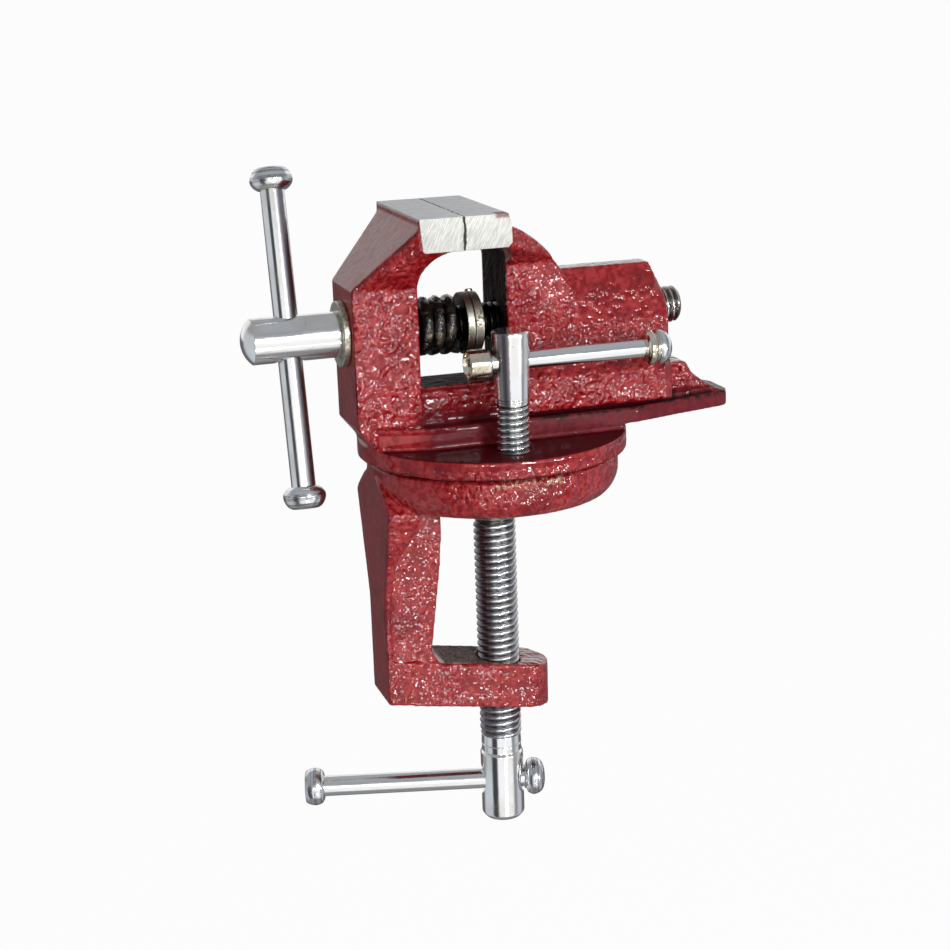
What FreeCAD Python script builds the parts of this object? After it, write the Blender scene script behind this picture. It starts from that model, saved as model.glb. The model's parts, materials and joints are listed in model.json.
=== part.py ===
"""A small clamp-on swivel bench vise, modelled with its jaws closed.

The frame's origin is where the swivel axis meets the underside of the lower disc, which is the
face that rests on the bench. +Z is up, and +X runs along the main screw, away from its handle.
All lengths are in millimetres and all angles in degrees.
"""

import FreeCAD, Part
import os
import Sketcher

from FreeCAD import Placement, Rotation, Vector

Z_AXIS = Vector(0, 0, 1)
AXES = {"X": Vector(1, 0, 0), "Y": Vector(0, 1, 0), "Z": Z_AXIS}

SIZES = {
    # clearances
    "runClear": 0.05,
    "slideClear": 0.25,
    "discGap": 0.1,
    "jawGap": 0.1,
    # jaws
    "jawWidth": 40.0,
    "jawTop": 73.0,
    "jawFaceHeight": 8.3,
    "jawFaceX": 11.35,
    "jawThick": 11.2,
    "flareDrop": 9.4,
    "movingFlareDrop": 5.6,
    # fixed jaw column
    "columnHalf": 10.2,
    "columnOuter": 37.4,
    "columnInner": 20.7,
    "columnShoulderDrop": 17.3,
    "slantDrop": 2.5,
    "columnHeel": 20.8,
    "heelInset": 4.2,
    "archRadius": 7.5,
    # upper swivel disc, tray and guide rail
    "upperDiscRadius": 34.5,
    "upperDiscThick": 4.8,
    "pedestalHalf": 11.4,
    "pedestalEnd": 30.5,
    "trayBottom": 16.8,
    "trayTop": 20.9,
    "trayHalf": 15.3,
    "trayStart": 33.6,
    "trayStartHalf": 10.9,
    "trayWideStart": 20.0,
    "trayWideEnd": 34.0,
    "trayNeck": 47.0,
    "trayNeckHalf": 11.6,
    "trayTip": 63.3,
    "trayTipHalf": 8.4,
    "trayCorner": 4.0,
    "trayLip": 1.9,
    "troughDepth": 1.0,
    "railHalf": 6.8,
    "railTop": 29.6,
    "railEnd": 51.2,
    "railSweep": 10.2,
    "railShoulder": 1.6,
    "railShoulderDrop": 3.0,
    "railSweepX": 5.2,
    "railSweepDrop": 5.9,
    "railGrooveDepth": 0.8,
    "railGrooveEnd": 1.3,
    "railGrooveTop": 0.8,
    "railGrooveHeight": 2.3,
    # moving jaw
    "movingInner": 2.0,
    "barrelEnd": 45.1,
    "barrelHalf": 10.2,
    "barrelRidge": 3.0,
    "barrelTop": 55.7,
    "barrelCut": 2.4,
    "barrelCutDrop": 7.7,
    "facetFoot": 42.4,
    "skirtFoot": 32.5,
    "blockHalf": 12.4,
    "blockTop": 29.8,
    "blockClear": 0.6,
    "noseFillet": 4.0,
    "headStartX": 0.7,
    "headShoulderDrop": 3.2,
    "headMiddleX": 14.5,
    "headMiddleDrop": 13.7,
    "headEndX": 22.0,
    "headTaperX": 16.6,
    # main screw
    "screwHeight": 43.6,
    "mainRadius": 4.7,
    "mainEnd": 51.2,
    "mainHubRadius": 5.7,
    "mainHubLength": 24.6,
    "mainHubDome": 3.2,
    "mainHoleInset": 12.3,
    "washerRadius": 8.2,
    "washerThick": 1.7,
    "springRadius": 6.2,
    "wireRadius": 1.4,
    "springTurns": 3.5,
    "springLength": 13.2,
    "springWasherThick": 2.0,
    "collarRadius": 7.8,
    "collarThick": 2.4,
    "collarPinRadius": 1.0,
    "collarPinStand": 0.6,
    # main handle
    "mainBarRadius": 3.0,
    "mainBarReach": 42.0,
    "mainBarAngle": 13.3,
    "mainCapRadius": 5.3,
    "mainCapLength": 5.7,
    # lock screw
    "lockX": 1.5,
    "lockInset": 12.0,
    "lockRadius": 4.1,
    "lockHeadFoot": 28.4,
    "lockHeadFootRadius": 4.3,
    "lockHeadRadius": 4.7,
    "lockTop": 45.2,
    "lockBarHeight": 37.5,
    "lockBarRadius": 2.25,
    "lockBarReach": 41.5,
    "lockCapRadius": 4.4,
    "lockCapLength": 6.9,
    "lockFerruleRadius": 3.7,
    "lockFerruleLength": 5.6,
    "lockCapGap": 1.0,
    # clamp frame
    "lowerDiscRadius": 32.3,
    "lowerDiscThick": 10.6,
    "lowerDiscSide": 5.6,
    "lowerDiscFoot": 29.4,
    "spineOuter": 32.4,
    "spineHalf": 7.9,
    "webInset": 0.8,
    "spineTopInner": 16.3,
    "spineBottomInner": 20.0,
    "shoulderHalf": 15.8,
    "shoulderHeight": 1.4,
    "shoulderCrown": 8.4,
    "flareFoot": 27.0,
    "gussetTopX": 24.0,
    "flangeThick": 1.4,
    "footTop": 41.0,
    "footDrop": 7.4,
    "footThick": 11.9,
    "footHalf": 8.3,
    "footEndX": 4.9,
    "footHoleMouth": 0.7,
    "footHoleMouthDepth": 1.2,
    # pivot
    "pivotRadius": 4.0,
    "pivotRecessRadius": 9.0,
    "pivotRecessDepth": 6.4,
    "pivotHeadWidth": 13.0,
    "pivotHeadThick": 4.0,
    "pivotWasherRadius": 8.0,
    "pivotWasherThick": 1.2,
    "pivotDepth": 14.0,
    # clamp screw
    "clampRadius": 5.5,
    "clampNeckRadius": 4.5,
    "clampThreadTop": 11.2,
    "clampHubTop": 71.1,
    "clampHubRadius": 5.7,
    "clampHubLength": 21.0,
    "clampHubChamfer": 1.6,
    "padTopGap": 1.4,
    "padRadius": 9.0,
    "padThick": 5.6,
    "padDish": 2.2,
    "padDishRadius": 5.4,
    "spigotRadius": 3.0,
    "spigotHeadRadius": 4.4,
    "spigotHeadThick": 1.6,
    # clamp handle
    "clampHoleInset": 10.2,
    "clampBarRadius": 2.7,
    "clampBarAngle": -14.8,
    "clampBarShort": 11.4,
    "clampBarLong": 53.4,
    "clampCapRadius": 5.0,
    "clampCapLength": 5.6,
    # edges and cap ends
    "capFloor": 1.6,
    "castEdge": 1.0,
    "softEdge": 2.0,
    "steelEdge": 0.6,
}

# places that several pieces share
SPRING_WASHER_FACE = "- columnInner + springLength"
COLLAR_FACE = SPRING_WASHER_FACE + " + springWasherThick"
LOCK_Y = "- upperDiscRadius + lockInset"
COLUMN_SHOULDER = "jawTop - columnShoulderDrop"
CLAMP_BAR_HEIGHT = "- clampHubTop - clampHoleInset"

doc = FreeCAD.newDocument("BenchVise")
sheet = doc.addObject("Spreadsheet::Sheet", "Sizes")
PIECES = []


def amount(text):
    """The value of a sum of sizes and numbers, such as "jawTop - slideClear + 2*castEdge"."""
    total = 0.0
    sign = 1.0
    for word in text.split():
        if word in ("+", "-"):
            sign = 1.0 if word == "+" else -1.0
            continue
        product = 1.0
        for factor in word.split("*"):
            product *= SIZES[factor] if factor in SIZES else float(factor)
        total += sign * product
    return total


def formula(text):
    """The same sum as an expression on the sheet."""
    words = []
    for word in text.split():
        factors = word.split("*")
        words.append(" * ".join("Sizes." + f if f in SIZES else f for f in factors))
    return " ".join(words)


def fill_sheet():
    for row, (name, value) in enumerate(SIZES.items(), start=1):
        sheet.set("A%d" % row, name)
        sheet.set("B%d" % row, str(value))
        sheet.setAlias("B%d" % row, name)
    doc.recompute()


def new_body(label):
    body = doc.addObject("PartDesign::Body", label)
    body.Label = label
    PIECES.append(body)
    return body


def origin_feature(body, role):
    return [item for item in body.Origin.OriginFeatures if item.Role == role][0]


def new_sketch(body, plane, offset=None):
    """A sketch on one of the body's own planes, moved along the plane's normal by an offset."""
    sketch = body.newObject("Sketcher::SketchObject", body.Label + "_sketch")
    sketch.AttachmentSupport = [(origin_feature(body, plane + "_Plane"), "")]
    sketch.MapMode = "FlatFace"
    if offset:
        sketch.setExpression("AttachmentOffset.Base.z", formula(offset))
    return sketch


def pin_coordinate(sketch, kind, curve, end, text):
    """Ties one coordinate of a point to its sum of sizes."""
    index = sketch.addConstraint(
        Sketcher.Constraint(kind, -1, 1, curve, end, amount(text))
    )
    sketch.setExpression("Constraints[%d]" % index, formula(text))


def draw_outline(sketch, points):
    """A closed outline. A point is (x, y), or (x, y, x via, y via) where an arc leads to the next."""
    first = sketch.GeometryCount
    count = len(points)
    flipped = []
    for index, point in enumerate(points):
        after = points[(index + 1) % count]
        start = Vector(amount(point[0]), amount(point[1]), 0)
        stop = Vector(amount(after[0]), amount(after[1]), 0)
        if len(point) == 2:
            flipped.append(False)
            sketch.addGeometry(Part.LineSegment(start, stop), False)
            continue
        via = Vector(amount(point[2]), amount(point[3]), 0)
        flipped.append((via - start).cross(stop - start).z < 0)
        if flipped[index]:
            start, stop = stop, start
        sketch.addGeometry(Part.Arc(start, via, stop), False)
    for index, point in enumerate(points):
        here = first + index
        after = (index + 1) % count
        last_end = 1 if flipped[index] else 2
        next_start = 2 if flipped[after] else 1
        sketch.addConstraint(
            Sketcher.Constraint("Coincident", here, last_end, first + after, next_start)
        )
        start_end = 2 if flipped[index] else 1
        pin_coordinate(sketch, "DistanceX", here, start_end, point[0])
        pin_coordinate(sketch, "DistanceY", here, start_end, point[1])
        if len(point) == 4:
            pin_arc(sketch, here, point[2], point[3])


def pin_arc(sketch, arc, x, y):
    """Leads an arc through a point."""
    point = sketch.addGeometry(Part.Point(Vector(amount(x), amount(y), 0)), True)
    pin_coordinate(sketch, "DistanceX", point, 1, x)
    pin_coordinate(sketch, "DistanceY", point, 1, y)
    sketch.addConstraint(Sketcher.Constraint("PointOnObject", point, 1, arc))


def draw_circle(sketch, x, y, radius):
    centre = Vector(amount(x), amount(y), 0)
    index = sketch.addGeometry(Part.Circle(centre, Z_AXIS, amount(radius)), False)
    pin_coordinate(sketch, "DistanceX", index, 3, x)
    pin_coordinate(sketch, "DistanceY", index, 3, y)
    size = sketch.addConstraint(Sketcher.Constraint("Radius", index, amount(radius)))
    sketch.setExpression("Constraints[%d]" % size, formula(radius))


def mirrored(points):
    """The outline's mirror image in its vertical axis, drawn the other way round."""
    return [(negative(p[0]), p[1]) for p in reversed(points)]


def negative(text):
    """The sum with every sign turned over."""
    words = text.split()
    if words[0] not in ("+", "-"):
        words.insert(0, "+")
    swap = {"+": "-", "-": "+"}
    words = [swap.get(word, word) for word in words]
    return " ".join(words[1:] if words[0] == "+" else words)


def pad(body, sketch, length, symmetric=False, reverse=False):
    feature = body.newObject("PartDesign::Pad", body.Label + "_pad")
    feature.Profile = sketch
    feature.SideType = "Symmetric" if symmetric else "One side"
    feature.Reversed = reverse
    feature.Length = amount(length)
    feature.setExpression("Length", formula(length))
    doc.recompute()
    return feature


def pocket(body, sketch, length=None, symmetric=False, reverse=False):
    """A cut of this length, or right through. It must remove something."""
    before = body.Shape.Volume
    feature = body.newObject("PartDesign::Pocket", body.Label + "_pocket")
    feature.Profile = sketch
    feature.SideType = "Symmetric" if symmetric else "One side"
    feature.Reversed = reverse
    if length:
        feature.Length = amount(length)
        feature.setExpression("Length", formula(length))
    else:
        feature.Type = "ThroughAll"
    doc.recompute()
    if not body.Shape.Volume < before:
        raise RuntimeError(feature.Label + " cuts nothing")
    return feature


def revolve(body, sketch):
    """A full turn about the body's own Z axis."""
    feature = body.newObject("PartDesign::Revolution", body.Label + "_turned")
    feature.Profile = sketch
    feature.ReferenceAxis = (sketch, ["V_Axis"])
    feature.Angle = 360
    doc.recompute()
    return feature


def middle(radius):
    """How far a rounded corner's arc stays inside the corner, in each direction."""
    return "0.293*" + radius


def turned(label, points):
    """A body turned about Z from its half outline of (radius, height) points."""
    body = new_body(label)
    sketch = new_sketch(body, "XZ")
    draw_outline(sketch, points)
    revolve(body, sketch)
    return body


def place(body, *moves):
    """Moves a body by each (x, y, z) or (x, y, z, axis, angle) in turn, each in the last one's frame."""
    total = Placement()
    words = []
    for move in moves:
        axis = AXES[move[3]] if len(move) > 3 else Z_AXIS
        angle = move[4] if len(move) > 3 else "0"
        base = Vector(amount(move[0]), amount(move[1]), amount(move[2]))
        total = total.multiply(Placement(base, Rotation(axis, amount(angle))))
        words.append(
            "placement(vector(%s; %s; %s); rotation(vector(%d; %d; %d); %s))"
            % (formula(move[0]), formula(move[1]), formula(move[2]), *axis, formula(angle))
        )
    body.Placement = total
    body.setExpression("Placement", " * ".join(words))


def shaft(bottom, top, radius):
    """The half outline of a plain rod."""
    return [("0", bottom), (radius, bottom), (radius, top), ("0", top)]


# Clamp frame: lower swivel disc, C-shaped spine and threaded foot


def spine_flange(body):
    """The outer flange, which widens into a shoulder under the disc."""
    sketch = new_sketch(body, "XZ")
    draw_outline(
        sketch,
        [
            ("- spineOuter", "- footTop - footThick"),
            ("- spineOuter + flangeThick", "- footTop - footThick"),
            ("- spineOuter + flangeThick", "- flareFoot"),
            ("- spineOuter + 2*flangeThick", "- 0.5*flareFoot"),
            ("- gussetTopX", "- 4"),
            ("- gussetTopX", "shoulderCrown"),
            ("- spineOuter", "shoulderCrown"),
        ],
    )
    pad(body, sketch, "2*shoulderHalf", symmetric=True)
    beside = [
        ("spineHalf", "- footTop - footThick - 1"),
        ("spineHalf", "- flareFoot"),
        ("shoulderHalf", "- shoulderHeight"),
        ("shoulderHalf", "0"),
        ("shoulderHalf - shoulderHeight", "shoulderHeight"),
        ("0.5*shoulderHalf", "shoulderCrown - 2.4"),
        ("0", "shoulderCrown"),
        ("0", "shoulderCrown + 1"),
        ("shoulderHalf + 1", "shoulderCrown + 1"),
        ("shoulderHalf + 1", "- footTop - footThick - 1"),
    ]
    for outline in (beside, mirrored(beside)):
        sketch = new_sketch(body, "YZ")
        draw_outline(sketch, outline)
        pocket(body, sketch, symmetric=True)


def spine_web(body):
    sketch = new_sketch(body, "XZ")
    draw_outline(
        sketch,
        [
            ("- spineOuter + 0.5*flangeThick", "- footTop - footThick"),
            ("- spineBottomInner + 4", "- footTop - footThick"),
            ("- spineBottomInner + 4", "- footTop - 0.5*footThick"),
            ("- spineBottomInner", "- footTop + 1"),
            ("- spineTopInner - 0.6", "- 0.4*footTop"),
            ("- spineTopInner", "- 8"),
            ("- spineTopInner", "1"),
            ("- spineOuter + 4*flangeThick", "1"),
            ("- spineOuter + 0.5*flangeThick", "- 6"),
        ],
    )
    pad(body, sketch, "2*spineHalf - 2*webInset", symmetric=True)


def lower_disc(body):
    sketch = new_sketch(body, "XZ")
    draw_outline(
        sketch,
        [
            ("0", "0"),
            ("lowerDiscFoot", "0", "lowerDiscRadius - 0.7", "0.5*lowerDiscSide"),
            ("lowerDiscRadius", "lowerDiscSide"),
            ("lowerDiscRadius", "lowerDiscThick - castEdge"),
            ("lowerDiscRadius - castEdge", "lowerDiscThick"),
            ("0", "lowerDiscThick"),
        ],
    )
    revolve(body, sketch)


def clamp_foot(body):
    """The foot, which droops towards its round end."""
    tip = "footEndX + footHalf"
    side = new_sketch(body, "XZ")
    draw_outline(
        side,
        [
            ("- spineOuter", "- footTop - footThick"),
            (tip, "- footTop - footDrop - footThick"),
            (tip, "- footTop - footDrop"),
            ("- spineOuter", "- footTop"),
        ],
    )
    pad(body, side, "2*footHalf", symmetric=True)
    beyond = new_sketch(body, "XY", "- footTop")
    draw_outline(
        beyond,
        [
            ("footEndX", "- footHalf", tip, "0"),
            ("footEndX", "footHalf"),
            ("footEndX", "footHalf + 1"),
            (tip + " + 1", "footHalf + 1"),
            (tip + " + 1", "- footHalf - 1"),
            ("footEndX", "- footHalf - 1"),
        ],
    )
    pocket(body, beyond)


def foot_hole(body):
    """The screw's hole through the foot, with a wider mouth in the drooping top face."""
    hole = new_sketch(body, "XY", "- footTop")
    draw_circle(hole, "0", "0", "clampRadius + runClear")
    pocket(body, hole, "footDrop + footThick")
    mouth = new_sketch(body, "XY", "- footTop")
    draw_circle(mouth, "0", "0", "clampRadius + runClear + footHoleMouth")
    pocket(body, mouth, "0.71*footDrop + footHoleMouthDepth")


def make_clamp_frame():
    body = new_body("clamp_frame")
    clamp_foot(body)
    spine_flange(body)
    spine_web(body)
    lower_disc(body)
    foot_hole(body)
    recess = new_sketch(body, "XY")
    draw_circle(recess, "0", "0", "pivotRecessRadius")
    pocket(body, recess, "pivotRecessDepth", reverse=True)
    pivot_hole = new_sketch(body, "XY")
    draw_circle(pivot_hole, "0", "0", "pivotRadius + runClear")
    pocket(body, pivot_hole, "lowerDiscThick", reverse=True)


# Fixed jaw: jaw, column, guide rail, tray and upper swivel disc in one casting


def jaw_section(drop, half):
    """Half of a jaw's cross-section, from the jaw top down past the flare to the body's side."""
    return [
        ("0", "jawTop"),
        ("0.5*jawWidth", "jawTop"),
        ("0.5*jawWidth", "jawTop - jawFaceHeight"),
        (half, "jawTop - jawFaceHeight - " + drop),
    ]


def taper_cut(body, wide_x, narrow_x, half, beyond, floor):
    """Narrows the head in plan, on both sides, from the jaw's width to the body's."""
    side = [
        (wide_x, "0.5*jawWidth"),
        (narrow_x, half),
        (beyond, half),
        (beyond, "0.5*jawWidth + 1"),
        (wide_x, "0.5*jawWidth + 1"),
    ]
    other = [(x, negative(y)) for x, y in side]
    for outline in (side, other):
        sketch = new_sketch(body, "XY", floor)
        draw_outline(sketch, outline)
        pocket(body, sketch, "jawTop", reverse=True)


def fixed_head(body):
    section = jaw_section("flareDrop", "columnHalf")
    other = [(negative(y), z) for y, z in reversed(section[1:])]
    sketch = new_sketch(body, "YZ", "- columnOuter")
    draw_outline(sketch, section + other)
    pad(body, sketch, "columnOuter - jawFaceX")
    above = new_sketch(body, "XZ")
    draw_outline(
        above,
        [
            ("- columnOuter - 1", COLUMN_SHOULDER),
            ("- columnOuter", COLUMN_SHOULDER),
            ("- jawFaceX - jawThick", "jawTop - slantDrop"),
            ("- jawFaceX - jawThick", "jawTop + 1"),
            ("- columnOuter - 1", "jawTop + 1"),
        ],
    )
    pocket(body, above, symmetric=True)
    taper_cut(
        body,
        "- jawFaceX - jawThick",
        "- columnOuter",
        "columnHalf",
        "- columnOuter - 1",
        COLUMN_SHOULDER + " - flareDrop",
    )
    under = new_sketch(body, "XZ")
    draw_outline(
        under,
        [
            ("- columnInner", "jawTop - jawFaceHeight - flareDrop - archRadius"),
            (
                "- columnInner",
                "jawTop - jawFaceHeight - archRadius",
                "- columnInner + " + middle("archRadius"),
                "jawTop - jawFaceHeight - " + middle("archRadius"),
            ),
            ("- columnInner + archRadius", "jawTop - jawFaceHeight"),
            ("- jawFaceX + 1", "jawTop - jawFaceHeight"),
            ("- jawFaceX + 1", "jawTop - jawFaceHeight - flareDrop - archRadius"),
        ],
    )
    pocket(body, under, symmetric=True)


def fixed_column(body):
    sketch = new_sketch(body, "XZ")
    draw_outline(
        sketch,
        [
            ("- columnOuter", "columnHeel"),
            ("- columnOuter + heelInset", "lowerDiscThick + discGap + upperDiscThick"),
            ("- columnInner", "lowerDiscThick + discGap + upperDiscThick"),
            (
                "- columnInner",
                "jawTop - jawFaceHeight - archRadius",
                "- columnInner + " + middle("archRadius"),
                "jawTop - jawFaceHeight - " + middle("archRadius"),
            ),
            ("- columnInner + archRadius", "jawTop - jawFaceHeight"),
            ("- columnInner", "jawTop - jawFaceHeight + 1"),
            ("- columnOuter", COLUMN_SHOULDER),
        ],
    )
    pad(body, sketch, "2*columnHalf", symmetric=True)


def tray_outline(inset):
    """The tray's plan, kept inside its edge by the inset."""
    corner_x = "trayTip - trayCorner - " + inset
    via_x = "trayTip - %s - %s" % (middle("trayCorner"), inset)
    via_y = "trayTipHalf - %s - %s" % (middle("trayCorner"), inset)
    side = [
        ("- trayStart + " + inset, "trayStartHalf - " + inset),
        ("- trayWideStart", "trayHalf - " + inset),
        ("trayWideEnd", "trayHalf - " + inset),
        ("trayNeck", "trayNeckHalf - " + inset),
        (corner_x, "trayTipHalf - " + inset),
    ]
    other = [(x, negative(y)) for x, y in side]
    other[-1] += (via_x, negative(via_y))
    side[-1] = ("trayTip - " + inset, "trayTipHalf - trayCorner - " + inset, via_x, via_y)
    after = (corner_x, "trayTipHalf - " + inset)
    before = ("trayTip - " + inset, negative(side[-1][1]))
    return other + [before, side[-1], after] + side[-2::-1]


def upper_disc_and_tray(body):
    disc = new_sketch(body, "XY", "lowerDiscThick + discGap")
    draw_circle(disc, "0", "0", "upperDiscRadius")
    pad(body, disc, "upperDiscThick")
    pedestal = new_sketch(body, "XY", "lowerDiscThick + discGap")
    draw_outline(
        pedestal,
        [
            ("- trayStart + 3", "- trayStartHalf + 2"),
            ("- trayWideStart", "- pedestalHalf"),
            ("pedestalEnd", "- pedestalHalf"),
            ("pedestalEnd", "pedestalHalf"),
            ("- trayWideStart", "pedestalHalf"),
            ("- trayStart + 3", "trayStartHalf - 2"),
        ],
    )
    pad(body, pedestal, "trayTop - lowerDiscThick - discGap")
    tray = new_sketch(body, "XY", "trayBottom")
    draw_outline(tray, tray_outline("0"))
    pad(body, tray, "trayTop - trayBottom")
    trough = new_sketch(body, "XY", "trayTop")
    draw_outline(trough, tray_outline("trayLip"))
    pocket(body, trough, "troughDepth")


def guide_rail(body):
    """The rail, whose outer end sweeps down to the tray's lip, with a groove along each side."""
    sketch = new_sketch(body, "XZ")
    draw_outline(
        sketch,
        [
            ("- columnInner - 1", "trayTop - troughDepth - 1"),
            ("railEnd + railSweep", "trayTop - troughDepth - 1"),
            (
                "railEnd + railSweep",
                "trayTop",
                "railEnd + railSweepX",
                "railTop - railSweepDrop",
            ),
            ("railEnd + railShoulder", "railTop - railShoulderDrop"),
            ("railEnd", "railTop"),
            ("- columnInner - 1", "railTop"),
        ],
    )
    pad(body, sketch, "2*railHalf", symmetric=True)
    groove = [
        ("- columnInner", "railHalf - railGrooveDepth"),
        ("railEnd - railGrooveEnd", "railHalf - railGrooveDepth"),
        ("railEnd - railGrooveEnd", "railHalf + 1"),
        ("- columnInner", "railHalf + 1"),
    ]
    for outline in (groove, [(x, negative(y)) for x, y in groove]):
        cut = new_sketch(body, "XY", "railTop - railGrooveTop")
        draw_outline(cut, outline)
        pocket(body, cut, "railGrooveHeight")


def make_fixed_jaw():
    body = new_body("fixed_jaw_body")
    fixed_head(body)
    fixed_column(body)
    upper_disc_and_tray(body)
    guide_rail(body)
    screw_hole = new_sketch(body, "YZ", "- columnOuter - 1")
    draw_circle(screw_hole, "0", "screwHeight", "mainRadius + runClear")
    pocket(body, screw_hole, "columnOuter - columnInner + 2", reverse=True)
    pivot_hole = new_sketch(body, "XY", "lowerDiscThick + discGap")
    draw_circle(pivot_hole, "0", "0", "pivotRadius")
    pocket(body, pivot_hole, "pivotDepth", reverse=True)
    lock_hole = new_sketch(body, "XY", "lowerDiscThick + discGap")
    draw_circle(lock_hole, "- lockX", LOCK_Y, "lockRadius + runClear")
    pocket(body, lock_hole, "upperDiscThick", reverse=True)


# Moving jaw: jaw, nut barrel and slide block in one casting


def moving_head(body):
    section = jaw_section("movingFlareDrop", "barrelHalf")
    section.append(("barrelHalf", "facetFoot"))
    other = [(negative(y), z) for y, z in reversed(section[1:])]
    sketch = new_sketch(body, "YZ", "- jawFaceX + jawGap")
    draw_outline(sketch, section + other)
    pad(body, sketch, "jawFaceX - jawGap + headEndX")
    back = new_sketch(body, "XZ")
    draw_outline(
        back,
        [
            ("- jawFaceX + jawThick", "jawTop + 1"),
            ("- jawFaceX + jawThick", "jawTop"),
            (
                "headStartX",
                "jawTop - headShoulderDrop",
                "headMiddleX",
                "jawTop - headMiddleDrop",
            ),
            ("headEndX", "facetFoot"),
            ("headEndX + 1", "facetFoot"),
            ("headEndX + 1", "jawTop + 1"),
        ],
    )
    pocket(body, back, symmetric=True)
    taper_cut(body, "headStartX", "headTaperX", "barrelHalf", "headEndX + 1", "facetFoot - 1")
    under = new_sketch(body, "XZ")
    draw_outline(
        under,
        [
            ("- jawFaceX - 1", "facetFoot - 1"),
            ("movingInner", "facetFoot - 1"),
            (
                "movingInner",
                "jawTop - jawFaceHeight - noseFillet",
                "movingInner - " + middle("noseFillet"),
                "jawTop - jawFaceHeight - " + middle("noseFillet"),
            ),
            ("movingInner - noseFillet", "jawTop - jawFaceHeight"),
            ("- jawFaceX - 1", "jawTop - jawFaceHeight"),
        ],
    )
    pocket(body, under, symmetric=True)


def nut_barrel(body):
    """The faceted barrel, with the block below it that straddles the rail."""
    side = [
        ("barrelRidge", "barrelTop"),
        ("barrelHalf", "facetFoot"),
        ("barrelHalf", "skirtFoot"),
        ("blockHalf", "blockTop"),
        ("blockHalf", "trayTop + blockClear"),
        ("railHalf + slideClear", "trayTop + blockClear"),
        ("railHalf + slideClear", "railTop + slideClear"),
    ]
    sketch = new_sketch(body, "YZ", "movingInner")
    draw_outline(sketch, side + mirrored(side))
    pad(body, sketch, "barrelEnd - movingInner")
    end_cut = new_sketch(body, "XZ")
    draw_outline(
        end_cut,
        [
            ("barrelEnd", "barrelTop - barrelCutDrop"),
            ("barrelEnd + 1", "barrelTop - barrelCutDrop"),
            ("barrelEnd + 1", "barrelTop + 1"),
            ("barrelEnd - barrelCut", "barrelTop + 1"),
            ("barrelEnd - barrelCut", "barrelTop"),
        ],
    )
    pocket(body, end_cut, symmetric=True)
    screw_hole = new_sketch(body, "YZ", "movingInner - 1")
    draw_circle(screw_hole, "0", "screwHeight", "mainRadius + runClear")
    pocket(body, screw_hole, "barrelEnd - movingInner + 2", reverse=True)


def make_moving_jaw():
    body = new_body("moving_jaw_body")
    moving_head(body)
    nut_barrel(body)


# Pivot: a bolt up through the lower disc into the upper casting


def make_pivot():
    washer = turned(
        "pivot_washer",
        [
            ("pivotRadius + runClear", "- pivotWasherThick"),
            ("pivotWasherRadius", "- pivotWasherThick"),
            ("pivotWasherRadius", "0"),
            ("pivotRadius + runClear", "0"),
        ],
    )
    place(washer, ("0", "0", "pivotRecessDepth"))
    bolt = turned(
        "pivot_bolt", shaft("0", "lowerDiscThick + pivotDepth - pivotRecessDepth", "pivotRadius")
    )
    place(bolt, ("0", "0", "pivotRecessDepth - pivotWasherThick"))
    head = new_sketch(bolt, "XY")
    half_flat = "0.2887*pivotHeadWidth"
    corner = "0.5774*pivotHeadWidth"
    right = [
        ("0.5*pivotHeadWidth", negative(half_flat)),
        ("0.5*pivotHeadWidth", half_flat),
        ("0", corner),
    ]
    left = [(negative(x), negative(y)) for x, y in right]
    draw_outline(head, right + left)
    pad(bolt, head, "pivotHeadThick", reverse=True)


# Main screw and what it carries


def along_screw(body, x):
    """Lays a turned piece along the main screw, with its own Y axis in line with the handle."""
    place(
        body,
        (x, "0", "screwHeight", "X", "90 - mainBarAngle"),
        ("0", "0", "0", "Y", "90"),
    )


def ring(label, bore, radius, thick, edge):
    """A washer or collar with its outer edges broken."""
    return turned(
        label,
        [
            (bore, "0"),
            (radius + " - " + edge, "0"),
            (radius, edge),
            (radius, thick + " - " + edge),
            (radius + " - " + edge, thick),
            (bore, thick),
        ],
    )


def make_main_screw():
    hub_face = "- columnOuter - washerThick"
    hub_end = hub_face + " - mainHubLength"
    screw = turned(
        "main_screw",
        [
            ("0", hub_end, "0.6*mainHubRadius", hub_end + " + 0.27*mainHubDome"),
            ("mainHubRadius", hub_end + " + mainHubDome"),
            ("mainHubRadius", hub_face),
            ("mainRadius", hub_face),
            ("mainRadius", "mainEnd - castEdge"),
            ("mainRadius - castEdge", "mainEnd"),
            ("0", "mainEnd"),
        ],
    )
    along_screw(screw, "0")
    handle_hole = new_sketch(screw, "XZ")
    draw_circle(handle_hole, "0", hub_face + " - mainHoleInset", "mainBarRadius + runClear")
    pocket(screw, handle_hole, symmetric=True)
    pin_hole = new_sketch(screw, "XZ")
    draw_circle(pin_hole, "0", COLLAR_FACE + " + 0.5*collarThick", "collarPinRadius")
    pocket(screw, pin_hole, symmetric=True)


def make_screw_rings():
    bore = "mainRadius + runClear"
    thrust = ring("thrust_washer", bore, "washerRadius", "washerThick", "0.5*steelEdge")
    along_screw(thrust, "- columnOuter - washerThick")
    washer = ring("spring_washer", bore, "collarRadius", "springWasherThick", "0.5*steelEdge")
    along_screw(washer, SPRING_WASHER_FACE)
    collar = ring("screw_collar", "mainRadius", "collarRadius", "collarThick", "steelEdge")
    along_screw(collar, COLLAR_FACE)
    pin_hole = new_sketch(collar, "XZ")
    draw_circle(pin_hole, "0", "0.5*collarThick", "collarPinRadius")
    pocket(collar, pin_hole, symmetric=True)
    reach = "collarRadius + collarPinStand"
    pin = turned("collar_pin", shaft(negative(reach), reach, "collarPinRadius"))
    place(
        pin,
        (COLLAR_FACE + " + 0.5*collarThick", "0", "screwHeight", "X", "- mainBarAngle"),
    )


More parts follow.
